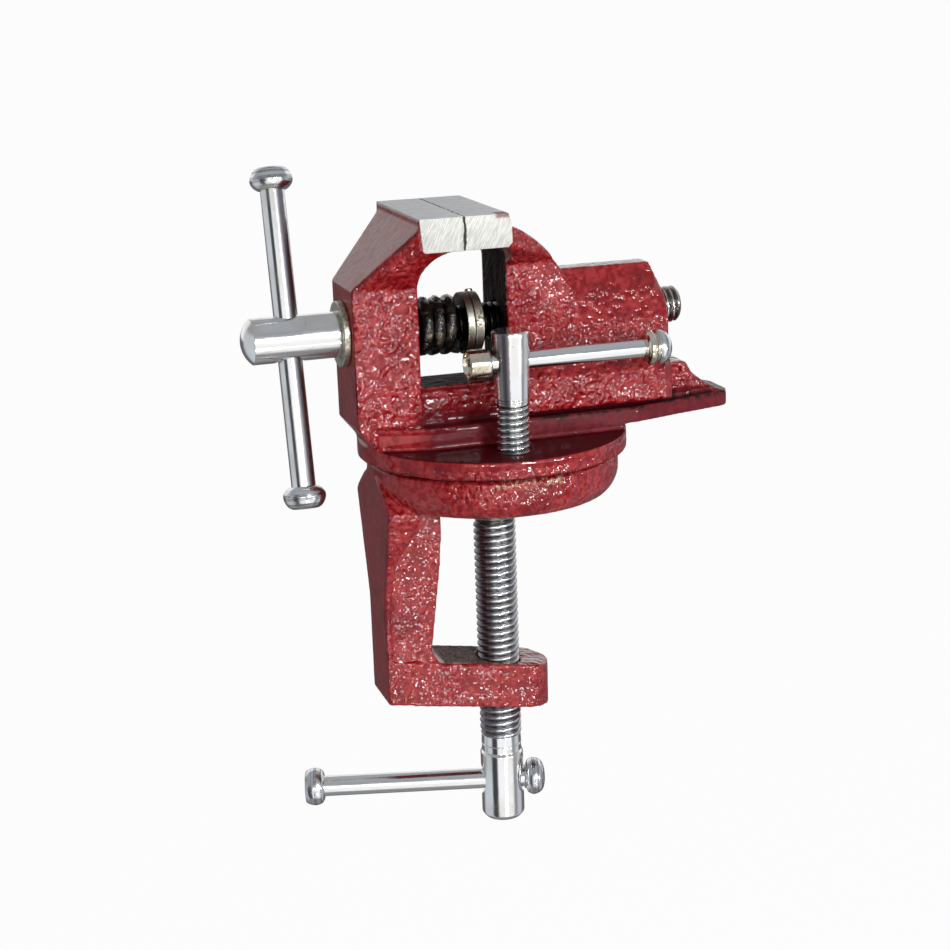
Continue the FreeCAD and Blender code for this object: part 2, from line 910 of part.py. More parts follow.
def make_return_spring():
    """An open coil between the column and the spring washer, around the screw."""
    spring = new_body("return_spring")
    sketch = new_sketch(spring, "XZ")
    draw_circle(sketch, "springRadius", "wireRadius + discGap", "wireRadius")
    coil = spring.newObject("PartDesign::AdditiveHelix", "return_spring_coil")
    coil.Profile = sketch
    coil.ReferenceAxis = (sketch, ["V_Axis"])
    coil.Mode = "height-turns-angle"
    coil.setExpression("Height", formula("springLength - 2*wireRadius - 2*discGap"))
    coil.setExpression("Turns", formula("springTurns"))
    doc.recompute()
    place(spring, ("- columnInner", "0", "screwHeight", "Y", "90"))


# Sliding handles


def make_bar(label, radius, length, *moves):
    bar = turned(label, shaft("0", length, radius))
    place(bar, *moves)


def cap_outline(bore, radius, length):
    """A cap's half outline: a blind sleeve with a flat dome."""
    return [
        (bore, "0"),
        (radius + " - steelEdge", "0"),
        (radius, "steelEdge"),
        (radius, length + " - 2*softEdge", radius + " - " + middle("softEdge"), length + " - softEdge"),
        (radius + " - 1.2*softEdge", length + " - 0.3*steelEdge"),
        ("0", length),
        ("0", length + " - capFloor"),
        (bore, length + " - capFloor"),
    ]


def make_cap(label, bore, radius, length, *moves):
    cap = turned(label, cap_outline(bore, radius, length))
    place(cap, *moves)


def make_main_handle():
    centre = ("- columnOuter - washerThick - mainHoleInset", "0", "screwHeight", "X", "- mainBarAngle")
    make_bar(
        "main_bar",
        "mainBarRadius",
        "2*mainBarReach - 2*capFloor",
        centre,
        ("0", "0", "- mainBarReach + capFloor"),
    )
    cap = ("mainBarRadius", "mainCapRadius", "mainCapLength")
    make_cap("main_bar_cap_upper", *cap, centre, ("0", "0", "mainBarReach - mainCapLength"))
    make_cap(
        "main_bar_cap_lower",
        *cap,
        centre,
        ("0", "0", "- mainBarReach + mainCapLength", "X", "180"),
    )


def make_lock_screw():
    screw = turned(
        "lock_screw",
        [
            ("0", "lowerDiscThick + 2*discGap"),
            ("lockRadius - steelEdge", "lowerDiscThick + 2*discGap"),
            ("lockRadius", "lowerDiscThick + 2*discGap + steelEdge"),
            ("lockRadius", "lockHeadFoot"),
            ("lockHeadFootRadius", "lockHeadFoot"),
            ("lockHeadRadius", "lockTop - steelEdge"),
            ("lockHeadRadius - steelEdge", "lockTop"),
            ("0", "lockTop"),
        ],
    )
    place(screw, ("- lockX", LOCK_Y, "0"))
    hole = new_sketch(screw, "YZ")
    draw_circle(hole, "0", "lockBarHeight", "lockBarRadius + runClear")
    pocket(screw, hole, symmetric=True)


def make_lock_handle():
    """The bar is pushed nearly right across, so that its plain left cap is close to the head."""
    cap_side = "- lockX - lockHeadRadius - lockCapGap"
    left_end = cap_side + " - lockFerruleLength"
    make_bar(
        "lock_bar",
        "lockBarRadius",
        "lockBarReach + lockHeadRadius + lockCapGap + lockFerruleLength - 2*capFloor",
        (left_end + " + capFloor", LOCK_Y, "lockBarHeight", "Y", "90"),
    )
    ferrule = turned(
        "lock_bar_cap_left",
        [
            ("lockBarRadius", "0"),
            ("lockFerruleRadius - 0.5*steelEdge", "0"),
            ("lockFerruleRadius", "0.5*steelEdge"),
            ("lockFerruleRadius", "lockFerruleLength - 0.5*steelEdge"),
            ("lockFerruleRadius - 0.5*steelEdge", "lockFerruleLength"),
            ("0", "lockFerruleLength - 0.5*capFloor"),
            ("0", "lockFerruleLength - capFloor"),
            ("lockBarRadius", "lockFerruleLength - capFloor"),
        ],
    )
    place(ferrule, (cap_side, LOCK_Y, "lockBarHeight", "Y", "- 90"))
    make_cap(
        "lock_bar_cap_right",
        "lockBarRadius",
        "lockCapRadius",
        "lockCapLength",
        ("- lockX + lockBarReach - lockCapLength", LOCK_Y, "lockBarHeight", "Y", "90"),
    )


# Clamp screw, its pad and its handle


def make_clamp_screw():
    pad_foot = "- padTopGap - padThick"
    dish = "- padTopGap - padDish"
    hub_foot = "- clampHubTop - clampHubLength"
    screw = turned(
        "clamp_screw",
        [
            ("0", hub_foot),
            ("clampHubRadius - clampHubChamfer", hub_foot),
            ("clampHubRadius", hub_foot + " + clampHubChamfer"),
            ("clampHubRadius", "- clampHubTop"),
            ("clampRadius", "- clampHubTop"),
            ("clampRadius", "- clampThreadTop"),
            ("clampNeckRadius", "- clampThreadTop"),
            ("clampNeckRadius", pad_foot + " - discGap"),
            ("spigotRadius", pad_foot + " - discGap"),
            ("spigotRadius", dish + " + discGap"),
            ("spigotHeadRadius", dish + " + discGap"),
            ("spigotHeadRadius", dish + " + discGap + 0.6*spigotHeadThick"),
            ("spigotHeadRadius - 0.6*spigotHeadThick", dish + " + discGap + spigotHeadThick"),
            ("0", dish + " + discGap + spigotHeadThick"),
        ],
    )
    place(screw, ("0", "0", "0", "Z", "clampBarAngle"))
    hole = new_sketch(screw, "YZ")
    draw_circle(hole, "0", CLAMP_BAR_HEIGHT, "clampBarRadius + runClear")
    pocket(screw, hole, symmetric=True)
    turned(
        "clamp_pad",
        [
            ("spigotRadius + runClear", pad_foot),
            ("padRadius - softEdge", pad_foot),
            ("padRadius", pad_foot + " + softEdge"),
            ("padRadius", "- padTopGap - 0.5*steelEdge"),
            ("padRadius - 0.5*steelEdge", "- padTopGap"),
            ("padDishRadius", "- padTopGap"),
            ("padDishRadius", dish),
            ("spigotRadius + runClear", dish),
        ],
    )


def make_clamp_handle():
    centre = ("0", "0", CLAMP_BAR_HEIGHT, "Z", "clampBarAngle")
    make_bar(
        "clamp_bar",
        "clampBarRadius",
        "clampBarShort + clampBarLong - 2*capFloor",
        centre,
        ("- clampBarLong + capFloor", "0", "0", "Y", "90"),
    )
    cap = ("clampBarRadius", "clampCapRadius", "clampCapLength")
    make_cap(
        "clamp_bar_cap_right",
        *cap,
        centre,
        ("clampBarShort - clampCapLength", "0", "0", "Y", "90"),
    )
    make_cap(
        "clamp_bar_cap_left",
        *cap,
        centre,
        ("- clampBarLong + clampCapLength", "0", "0", "Y", "- 90"),
    )


fill_sheet()
make_clamp_frame()
make_fixed_jaw()
make_moving_jaw()
make_pivot()
make_main_screw()
make_screw_rings()
make_return_spring()
make_main_handle()
make_lock_screw()
make_lock_handle()
make_clamp_screw()
make_clamp_handle()
doc.recompute()

failed = [item.Label for item in doc.Objects if {"Invalid", "Error"} & set(item.State)]
if failed:
    raise RuntimeError("failed to build: " + ", ".join(failed))

os.makedirs("parts", exist_ok=True)
for piece in PIECES:
    if piece.Shape.isNull() or not piece.Shape.isValid():
        raise RuntimeError(piece.Label + " is not a valid shape")
    print(piece.Label, round(piece.Shape.Volume), piece.Shape.BoundBox)
    piece.Shape.exportStep("parts/%s.step" % piece.Label)
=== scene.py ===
import bpy
import bmesh
import json
import math
from mathutils import Matrix, Vector, noise


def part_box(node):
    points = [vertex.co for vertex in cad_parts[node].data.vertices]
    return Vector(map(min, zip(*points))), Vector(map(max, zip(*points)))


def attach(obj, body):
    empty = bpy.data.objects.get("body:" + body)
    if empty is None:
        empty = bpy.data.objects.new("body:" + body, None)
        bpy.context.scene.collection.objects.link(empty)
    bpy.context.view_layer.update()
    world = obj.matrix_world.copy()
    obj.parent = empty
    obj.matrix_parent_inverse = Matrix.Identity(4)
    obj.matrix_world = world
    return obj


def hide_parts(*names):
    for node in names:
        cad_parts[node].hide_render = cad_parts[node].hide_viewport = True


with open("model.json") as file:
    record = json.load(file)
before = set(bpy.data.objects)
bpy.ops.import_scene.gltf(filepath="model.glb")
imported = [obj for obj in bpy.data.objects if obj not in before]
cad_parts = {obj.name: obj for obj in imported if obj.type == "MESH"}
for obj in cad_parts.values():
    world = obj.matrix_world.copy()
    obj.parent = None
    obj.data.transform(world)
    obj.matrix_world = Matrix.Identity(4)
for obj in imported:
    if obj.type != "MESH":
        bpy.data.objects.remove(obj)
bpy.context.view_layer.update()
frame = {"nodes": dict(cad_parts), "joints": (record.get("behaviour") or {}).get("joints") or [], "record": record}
mm = 0.001
tau = 2 * math.pi

# The record says which body each node rides on, and the joints give the axes.
bodyOf = {}
for bodyName, members in frame["record"]["behaviour"]["bodies"].items():
    for member in members:
        bodyOf[member] = bodyName
joints = {joint["name"]: joint for joint in frame["joints"]}


def axisFrame(origin, along, across):
    # local Z runs along the axis, local Y lies towards across
    z = along.normalized()
    y = (across - z * across.dot(z)).normalized()
    turn = Matrix((y.cross(z), y, z)).transposed().to_4x4()
    return Matrix.Translation(origin) @ turn


eastward = Vector((1, 0, 0))
upward = Vector((0, 0, 1))
screwCentre = Vector(joints["main_screw_turn"]["pos_m"])
handleLine = Vector(joints["main_bar_slide"]["axis"])
lockCentre = Vector(joints["lock_turn"]["pos_m"])
clampLine = Vector(joints["clamp_bar_slide"]["axis"])
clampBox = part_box("clamp_bar")
clampCentre = Vector((0, 0, (clampBox[0].z + clampBox[1].z) / 2))

mainAxis = axisFrame(Vector((0, 0, screwCentre.z)), eastward, handleLine)
handleAxis = axisFrame(screwCentre, handleLine, eastward)
lockAxis = axisFrame(Vector((lockCentre.x, lockCentre.y, 0)), upward, eastward)
lockBarAxis = axisFrame(lockCentre, eastward, upward)
clampAxis = axisFrame(Vector((0, 0, 0)), upward, clampLine)
clampBarAxis = axisFrame(clampCentre, clampLine, upward)


# Shader helpers

def newMaterial(name):
    material = bpy.data.materials.new(name)
    material.use_nodes = True
    tree = material.node_tree
    return material, tree, tree.nodes["Principled BSDF"]


def setInput(tree, socket, value):
    if isinstance(value, bpy.types.NodeSocket):
        tree.links.new(value, socket)
    elif socket.type == "RGBA" and len(value) == 3:
        socket.default_value = (*value, 1.0)
    else:
        socket.default_value = value


def setInputs(tree, node, values):
    for key, value in values.items():
        setInput(tree, node.inputs[key], value)


def addNode(tree, kind, values=None, **settings):
    node = tree.nodes.new(kind)
    for key, value in settings.items():
        setattr(node, key, value)
    setInputs(tree, node, values or {})
    return node


def maths(tree, operation, a, b=0.0, clamp=False):
    node = addNode(tree, "ShaderNodeMath", {0: a, 1: b}, operation=operation, use_clamp=clamp)
    return node.outputs[0]


def plus(tree, a, b, clamp=False):
    return maths(tree, "ADD", a, b, clamp)


def minus(tree, a, b):
    return maths(tree, "SUBTRACT", a, b)


def times(tree, a, b):
    return maths(tree, "MULTIPLY", a, b)


def vectors(tree, operation, a, b=(0, 0, 0)):
    node = addNode(tree, "ShaderNodeVectorMath", {0: a, 1: b}, operation=operation)
    return node.outputs["Value" if operation in ("DOT_PRODUCT", "LENGTH") else "Vector"]


def xyzOf(tree, vector):
    return addNode(tree, "ShaderNodeSeparateXYZ", {0: vector}).outputs


def ramp(tree, value, low, high, floor=0.0, top=1.0):
    # a smooth step of a value between two limits
    values = {"Value": value, "From Min": low, "From Max": high, "To Min": floor, "To Max": top}
    node = addNode(tree, "ShaderNodeMapRange", values, interpolation_type="SMOOTHSTEP")
    return node.outputs["Result"]


def blend(tree, factor, a, b):
    node = addNode(tree, "ShaderNodeMix", {0: factor}, data_type="RGBA")
    setInput(tree, node.inputs[6], a)
    setInput(tree, node.inputs[7], b)
    return node.outputs[2]


def mixValue(tree, factor, a, b):
    node = addNode(tree, "ShaderNodeMix", {0: factor, 2: a, 3: b}, data_type="FLOAT")
    return node.outputs[0]


def noiseAt(tree, place, size, detail=2.0, rough=0.5):
    # noise whose blobs are about size mm wide
    values = {"Vector": place, "Scale": 1000.0 / size, "Detail": detail, "Roughness": rough}
    return addNode(tree, "ShaderNodeTexNoise", values).outputs["Fac"]


def stretched(tree, place, scale, turn=(0.0, 0.0, 0.0)):
    return addNode(tree, "ShaderNodeMapping", {"Vector": place, "Scale": scale, "Rotation": turn}).outputs[0]


def newGroup(name, places, numbers, results):
    # a shader group with inputs that are places or directions, inputs that are numbers, and results
    tree = bpy.data.node_groups.new(name, "ShaderNodeTree")
    for label in places:
        tree.interface.new_socket(label, in_out="INPUT", socket_type="NodeSocketVector")
    for label in numbers:
        tree.interface.new_socket(label, in_out="INPUT", socket_type="NodeSocketFloat")
    for label in results:
        tree.interface.new_socket(label, in_out="OUTPUT", socket_type="NodeSocketFloat")
    start = tree.nodes.new("NodeGroupInput")
    end = tree.nodes.new("NodeGroupOutput")
    return tree, start.outputs, end.inputs


def useGroup(tree, group, values):
    node = tree.nodes.new("ShaderNodeGroup")
    node.node_tree = group
    setInputs(tree, node, values)
    return node.outputs


def bumpOf(tree, height, strength, distance):
    values = {"Height": height, "Strength": strength, "Distance": distance}
    return addNode(tree, "ShaderNodeBump", values).outputs["Normal"]


def objectPlace(tree):
    return tree.nodes.new("ShaderNodeTexCoord").outputs["Object"]


# Effects that several finishes share

def makeHammer():
    # thick enamel that draws back into small pits with flat ridges between them
    tree, given, made = newGroup("hammeredEnamel", ["Place"], ["Pit"], ["Height", "Ridge"])
    place = given["Place"]
    scale = maths(tree, "DIVIDE", 1000.0, given["Pit"])
    wideScale = times(tree, scale, 0.3)
    pits = addNode(tree, "ShaderNodeTexVoronoi", {"Vector": place, "Scale": scale, "Smoothness": 1.0},
                   feature="SMOOTH_F1")
    blobs = addNode(tree, "ShaderNodeTexNoise",
                    {"Vector": place, "Scale": scale, "Detail": 0.0, "Distortion": 0.5})
    swell = addNode(tree, "ShaderNodeTexNoise", {"Vector": place, "Scale": wideScale, "Detail": 2.0})
    ridge = plus(tree, blobs.outputs["Fac"], times(tree, pits.outputs["Distance"], 0.6))
    setInput(tree, made["Height"], plus(tree, ridge, swell.outputs["Fac"]))
    setInput(tree, made["Ridge"], ramp(tree, ridge, 0.55, 0.95))
    return tree


def makeZone():
    # one inside a box of Object coordinates, fading to nothing over Soft
    tree, given, made = newGroup("zone", ["Place", "Low", "High"], ["Soft"], ["Mask"])
    above = vectors(tree, "SUBTRACT", given["Place"], given["Low"])
    below = vectors(tree, "SUBTRACT", given["High"], given["Place"])
    nearest = vectors(tree, "MINIMUM", above, below)
    parts = xyzOf(tree, nearest)
    inside = maths(tree, "MINIMUM", maths(tree, "MINIMUM", parts[0], parts[1]), parts[2])
    share = maths(tree, "DIVIDE", inside, given["Soft"])
    setInput(tree, made["Mask"], plus(tree, share, 0.5, clamp=True))
    return tree


def makeFacing():
    # how squarely the surface faces a direction, as a soft mask
    tree, given, made = newGroup("facing", ["Direction"], ["From", "To"], ["Mask"])
    normal = tree.nodes.new("ShaderNodeTexCoord").outputs["Normal"]
    share = vectors(tree, "DOT_PRODUCT", normal, given["Direction"])
    setInput(tree, made["Mask"], ramp(tree, share, given["From"], given["To"]))
    return tree


def makeAxisDistance():
    # distance from an axis, in metres
    tree, given, made = newGroup("axisDistance", ["Place", "Centre", "Axis"], [], ["Distance"])
    away = vectors(tree, "SUBTRACT", given["Place"], given["Centre"])
    across = vectors(tree, "CROSS_PRODUCT", away, given["Axis"])
    setInput(tree, made["Distance"], vectors(tree, "LENGTH", across))
    return tree


def makePitting():
    # plating that is broken by small dark pits, thicker in some places
    tree, given, made = newGroup("pitting", ["Place"], ["Size", "Amount"], ["Mask", "Stain"])
    place = given["Place"]
    scale = maths(tree, "DIVIDE", 1000.0, given["Size"])
    wideScale = times(tree, scale, 0.08)
    spots = addNode(tree, "ShaderNodeTexNoise",
                    {"Vector": place, "Scale": scale, "Detail": 3.0, "Roughness": 0.65})
    cloud = addNode(tree, "ShaderNodeTexNoise", {"Vector": place, "Scale": wideScale, "Detail": 3.0})
    patch = ramp(tree, cloud.outputs["Fac"], 0.35, 0.7)
    both = plus(tree, spots.outputs["Fac"], times(tree, patch, 0.12))
    edge = minus(tree, 0.82, times(tree, given["Amount"], 0.25))
    setInput(tree, made["Mask"], ramp(tree, both, edge, plus(tree, edge, 0.06)))
    setInput(tree, made["Stain"], patch)
    return tree


hammer = makeHammer()
zone = makeZone()
facing = makeFacing()
axisDistance = makeAxisDistance()
pitting = makePitting()


# Finishes

enamelLook = {
    "thinAndSheen": (0.37, 0.024, 0.027),       # lighter on the ridges, where the enamel is thin, and partly a painted sheen for the pink reflections on the bumps
    "thick": (0.23, 0.0015, 0.0050),    # where it is thick, in the pits
    "deep": (0.20, 0.0015, 0.0045),     # pools near the edges
    "rough": (0.30, 0.42),              # in the pits and on the ridges
    "coat": 0.9,
    "coatRough": 0.03,
    "glint": 0.1,                       # specular level under the coat
    "bump": 0.0011,
    "edge": 0.0012,                     # how softly a mark ends, in metres
}
marks = {
    # what a mark does to the enamel: lift is the share of the bumps that it leaves, the rest lies on top.
    # A grain is (size in mm, detail, roughness, from, to, least), and faces is (direction, from, to).
    "smooth": {"lift": 0.05},
    "leftSmooth": {"faces": ((-0.92, 0, 0.38), 0.5, 0.8), "lift": 0.08, "coat": 0.45},
    "calm": {"edge": 0.005, "lift": 0.30},
    "bare": {"faces": ((0, 0, 1), 0.6, 0.85), "colour": (0.055, 0.028, 0.026), "fleck": (0.26, 0.20, 0.18),
             "fleckGrain": (0.7, 4.0, 0.7, 0.38, 0.62), "rough": 0.6, "coat": 0.0},
    "grease": {"colour": (0.004, 0.003, 0.003), "fleck": (0.040, 0.010, 0.011), "stretch": (1.0, 1.0, 0.12),
               "fleckGrain": (1.2, 3.0, 0.5, 0.42, 0.70), "rough": 0.75, "coat": 0.0},
    # broken dark patches, laid along the trough beside the rail
    "darkPatches": {"grain": (1.6, 4.0, 0.7, 0.46, 0.56), "colour": (0.012, 0.008, 0.007), "rough": 0.5,
             "coat": 0.0},
    "shadow": {"faces": ((0, 0, 1), 0.7, 0.9), "colour": (0.085, 0.0020, 0.0055), "rough": 0.5, "coat": 0.12},
    "seam": {"grain": (2.5, 2.0, 0.5, 0.35, 0.5, 0.4), "colour": (0.010, 0.003, 0.003), "rough": 0.7,
             "coat": 0.0},
    # a darker, duller purple over the tray and the foot of the rail, where its box lies
    "darkTray": {"edge": 0.005, "share": 0.75, "colour": (0.085, 0.010, 0.017), "rough": 0.5, "coat": 0.12},
    "dust": {"grain": (1.0, 3.0, 0.5, 0.45, 0.65), "colour": (0.55, 0.40, 0.28), "rough": 0.5, "coat": 0.0},
}


def grainAt(tree, place, size, detail, rough, low, high, least=0.0):
    return ramp(tree, noiseAt(tree, place, size, detail, rough), low, high, least, 1.0)


def faceMask(tree, way, start, end):
    return useGroup(tree, facing, {"Direction": way, "From": start, "To": end})["Mask"]


def markMask(tree, place, mark, low, high):
    # where a mark lies: in its box, on faces that look its way, broken up by its grain
    corners = {"Low": tuple(value * mm for value in low), "High": tuple(value * mm for value in high)}
    edge = mark.get("edge", enamelLook["edge"])
    mask = useGroup(tree, zone, {"Place": place, "Soft": edge, **corners})["Mask"]
    if "faces" in mark:
        mask = times(tree, mask, faceMask(tree, *mark["faces"]))
    if "grain" in mark:
        mask = times(tree, mask, grainAt(tree, place, *mark["grain"]))
    if "share" in mark:
        mask = times(tree, mask, mark["share"])
    return mask


def markColour(tree, place, mark):
    if "fleck" not in mark:
        return mark["colour"]
    if "stretch" in mark:
        place = stretched(tree, place, mark["stretch"])
    return blend(tree, grainAt(tree, place, *mark["fleckGrain"]), mark["colour"], mark["fleck"])


def makeEnamel(name, casting):
    material, tree, shader = newMaterial(name)
    place = objectPlace(tree)
    paint = useGroup(tree, hammer, {"Place": place, "Pit": casting["pit"]})
    patch = grainAt(tree, place, 9.0, 3.0, 0.5, 0.50, 0.72)
    # the ridges get the lighter colour: thinner enamel there, and partly a painted sheen
    colour = blend(tree, paint["Ridge"], enamelLook["thick"], enamelLook["thinAndSheen"])
    colour = blend(tree, patch, colour, enamelLook["deep"])
    rough = mixValue(tree, paint["Ridge"], *enamelLook["rough"])
    coat = enamelLook["coat"]
    lift = grainAt(tree, place, 7.0, 2.0, 0.5, 0.36, 0.62, 0.45)
    for kind, low, high in casting["marks"]:
        mark = marks[kind]
        mask = markMask(tree, place, mark, low, high)
        if "lift" in mark:
            lift = mixValue(tree, mask, lift, mark["lift"])
        if "colour" in mark:
            colour = blend(tree, mask, colour, markColour(tree, place, mark))
            rough = mixValue(tree, mask, rough, mark["rough"])
        if "coat" in mark:
            coat = mixValue(tree, mask, coat, mark["coat"])
    height = times(tree, paint["Height"], lift)
    bump = bumpOf(tree, height, 1.0, enamelLook["bump"] * casting["bumps"])
    setInputs(tree, shader, {
        "Base Color": colour, "Roughness": rough, "Normal": bump, "Specular IOR Level": enamelLook["glint"],
        "Coat Weight": coat, "Coat Roughness": enamelLook["coatRough"], "Coat Normal": bump})
    return material


tipLook = {
    # the top faces' colour, painted lighter to stand in for light that the top faces lack
    "top": (0.94, 0.95, 0.96),
    # its duller grain, painted lighter too
    "topDull": (0.80, 0.81, 0.82),
    "front": (0.74, 0.74, 0.70),
    "scratch": (0.50, 0.50, 0.47),
    "scratchTurn": 62,                   # slant of the file marks on the front, in degrees
    "gap": -11.3,                        # where the two tips meet, in mm along X
    "gapWidth": (0.48, 0.30),            # of the dirt beside it, on the front and on top, in mm
    "gapWander": 1.2,
    "gapDirt": (0.035, 0.028, 0.026),
    "smear": ((-3.4, -21.0, 72.0), (1.0, -16.5, 74.0)),
    "smearPaint": (0.16, 0.012, 0.018),
    "under": (0.060, 0.008, 0.009),      # painted and greasy below
}


def makeTipIron():
    # sawn and filed iron: a grey grain on top, painted lighter than the ends to stand in for light; scratched on
    # the ends, dirty along the joint
    look = tipLook
    material, tree, shader = newMaterial("filedIron")
    place = objectPlace(tree)
    up = faceMask(tree, (0, 0, 1), 0.5, 0.75)
    turned = stretched(tree, place, (1.0, 1.0, 1.0), (0.0, math.radians(look["scratchTurn"]), 0.0))
    lines = noiseAt(tree, stretched(tree, turned, (0.08, 0.08, 1.0)), 0.26, 4.0, 0.75)
    front = blend(tree, ramp(tree, lines, 0.40, 0.62), look["scratch"], look["front"])
    # top faces: colours painted lighter to stand in for light that reaches them too little
    top = blend(tree, grainAt(tree, place, 2.6, 4.0, 0.6, 0.3, 0.75), look["topDull"], look["top"])
    colour = blend(tree, up, front, top)
    parts = xyzOf(tree, place)
    wander = minus(tree, noiseAt(tree, place, 2.4, 3.0), 0.5)
    wander = times(tree, wander, look["gapWander"] * mm)
    away = maths(tree, "ABSOLUTE", plus(tree, parts[0], minus(tree, wander, look["gap"] * mm)))
    width = mixValue(tree, up, *(value * mm for value in look["gapWidth"]))
    seam = minus(tree, 1.0, ramp(tree, away, times(tree, width, 0.45), width))
    colour = blend(tree, seam, colour, look["gapDirt"])
    smear = markMask(tree, place, {"edge": 0.0006, "share": 0.8}, *look["smear"])
    colour = blend(tree, smear, colour, look["smearPaint"])
    colour = blend(tree, faceMask(tree, (0, 0, -1), 0.6, 0.85), colour, look["under"])
    setInputs(tree, shader, {
        "Base Color": colour, "Metallic": mixValue(tree, up, 0.1, 0.35),
        "Roughness": ramp(tree, lines, 0.3, 0.7, 0.62, 0.42), "Normal": bumpOf(tree, lines, 0.5, 0.00006)})
    return material


platingLook = {
    "pit": (0.10, 0.09, 0.09),
    "grime": (0.10, 0.10, 0.105),        # in the bottom of a thread
    "grease": (0.018, 0.015, 0.013),
    "greasyFace": (0.012, 0.010, 0.009),
    "darkReflection": (0.13, 0.115, 0.135),        # a painted dark reflection, stippled, down the side that faces one way
    "darkReflectionEdge": 0.12,
    "dull": (0.16, 0.15, 0.10),
}


def makePlating(name, tint=(0.82, 0.83, 0.84), stain=(0.55, 0.47, 0.33), stains=0.3, pits=0.35, rough=0.09,
                groove=None, greased=None, greasyFaces=False, darkReflection=None, dullEnd=None):
    # bright plating with faint stains and pits; groove gives a thread's centre, axis and radii in mm,
    # greased the corners of a greasy place, and the stripe argument a direction and how squarely the side with a
    # painted dark reflection faces it
    look = platingLook
    material, tree, shader = newMaterial(name)
    place = objectPlace(tree)
    worn = useGroup(tree, pitting, {"Place": place, "Size": 0.55, "Amount": pits})
    colour = blend(tree, times(tree, worn["Stain"], stains), tint, stain)
    colour = blend(tree, times(tree, worn["Mask"], 0.7), colour, look["pit"])
    shine = ramp(tree, worn["Stain"], 0.0, 1.0, rough, rough + 0.10)
    shine = plus(tree, shine, times(tree, worn["Mask"], 0.3))

    def lay(mask, over, dullness):
        return blend(tree, mask, colour, over), mixValue(tree, mask, shine, dullness)

    if groove:
        centre, axis, low, high = groove
        away = useGroup(tree, axisDistance, {"Place": place, "Centre": centre, "Axis": axis})["Distance"]
        depth = minus(tree, 1.0, ramp(tree, away, low * mm, high * mm))
        depth = times(tree, depth, grainAt(tree, place, 1.8, 3.0, 0.5, 0.25, 0.6, 0.55))
        colour, shine = lay(depth, look["grime"], 0.45)
    if greased:
        colour, shine = lay(markMask(tree, place, {"edge": 0.004}, *greased), look["grease"], 0.3)
    # painted dark reflection: a stippled dark stripe on the side that faces a given way, standing in for dark
    # surroundings seen in the plating
    if darkReflection:
        way, low, high = darkReflection
        edge = look["darkReflectionEdge"]
        normal = tree.nodes.new("ShaderNodeTexCoord").outputs["Normal"]
        side = vectors(tree, "DOT_PRODUCT", normal, way)
        mask = ramp(tree, side, low - edge, low + edge)
        mask = times(tree, mask, ramp(tree, side, high + edge, high - edge))
        stipple = minus(tree, noiseAt(tree, place, 0.55, 3.0, 0.7), 0.5)
        mask = ramp(tree, plus(tree, mask, stipple), 0.30, 0.75, 0.0, 0.85)
        colour, shine = lay(mask, look["darkReflection"], 0.35)
    if dullEnd:
        colour, shine = lay(faceMask(tree, dullEnd, 0.75, 0.9), look["dull"], 0.4)
    if greasyFaces:
        left, right = faceMask(tree, (-1, 0, 0), 0.5, 0.8), faceMask(tree, (1, 0, 0), 0.5, 0.8)
        colour, shine = lay(maths(tree, "MAXIMUM", left, right), look["greasyFace"], 0.35)
    bump = bumpOf(tree, noiseAt(tree, place, 3.5, 2.0), 0.35, 0.00008)
    setInputs(tree, shader, {"Base Color": colour, "Roughness": shine, "Normal": bump, "Metallic": 1.0})
    return material


def makeGrease(name):
    # steel under thick black grease, with a brown shine where it is thin
    material, tree, shader = newMaterial(name)
    place = objectPlace(tree)
    film = noiseAt(tree, place, 2.2, 4.0, 0.6)
    colour = blend(tree, ramp(tree, film, 0.52, 0.70), (0.008, 0.007, 0.006), (0.16, 0.125, 0.085))
    bump = bumpOf(tree, noiseAt(tree, place, 1.3, 3.0), 1.0, 0.0005)
    setInputs(tree, shader, {
        "Base Color": colour, "Metallic": ramp(tree, film, 0.52, 0.70, 0.1, 0.8),
        "Roughness": ramp(tree, film, 0.35, 0.75, 0.16, 0.34), "Normal": bump,
        "Coat Weight": 0.5, "Coat Roughness": 0.08, "Coat Normal": bump})
    return material


screwGroove = (tuple(screwCentre), (1, 0, 0), 4.1, 4.62)
clampGroove = ((0, 0, 0), (0, 0, 1), 4.75, 5.42)
lockGroove = (tuple(lockCentre), (0, 0, 1), 3.45, 4.02)

rightward = (0.953, -0.302, 0.0)   # level, to the right as the vise is seen from its front

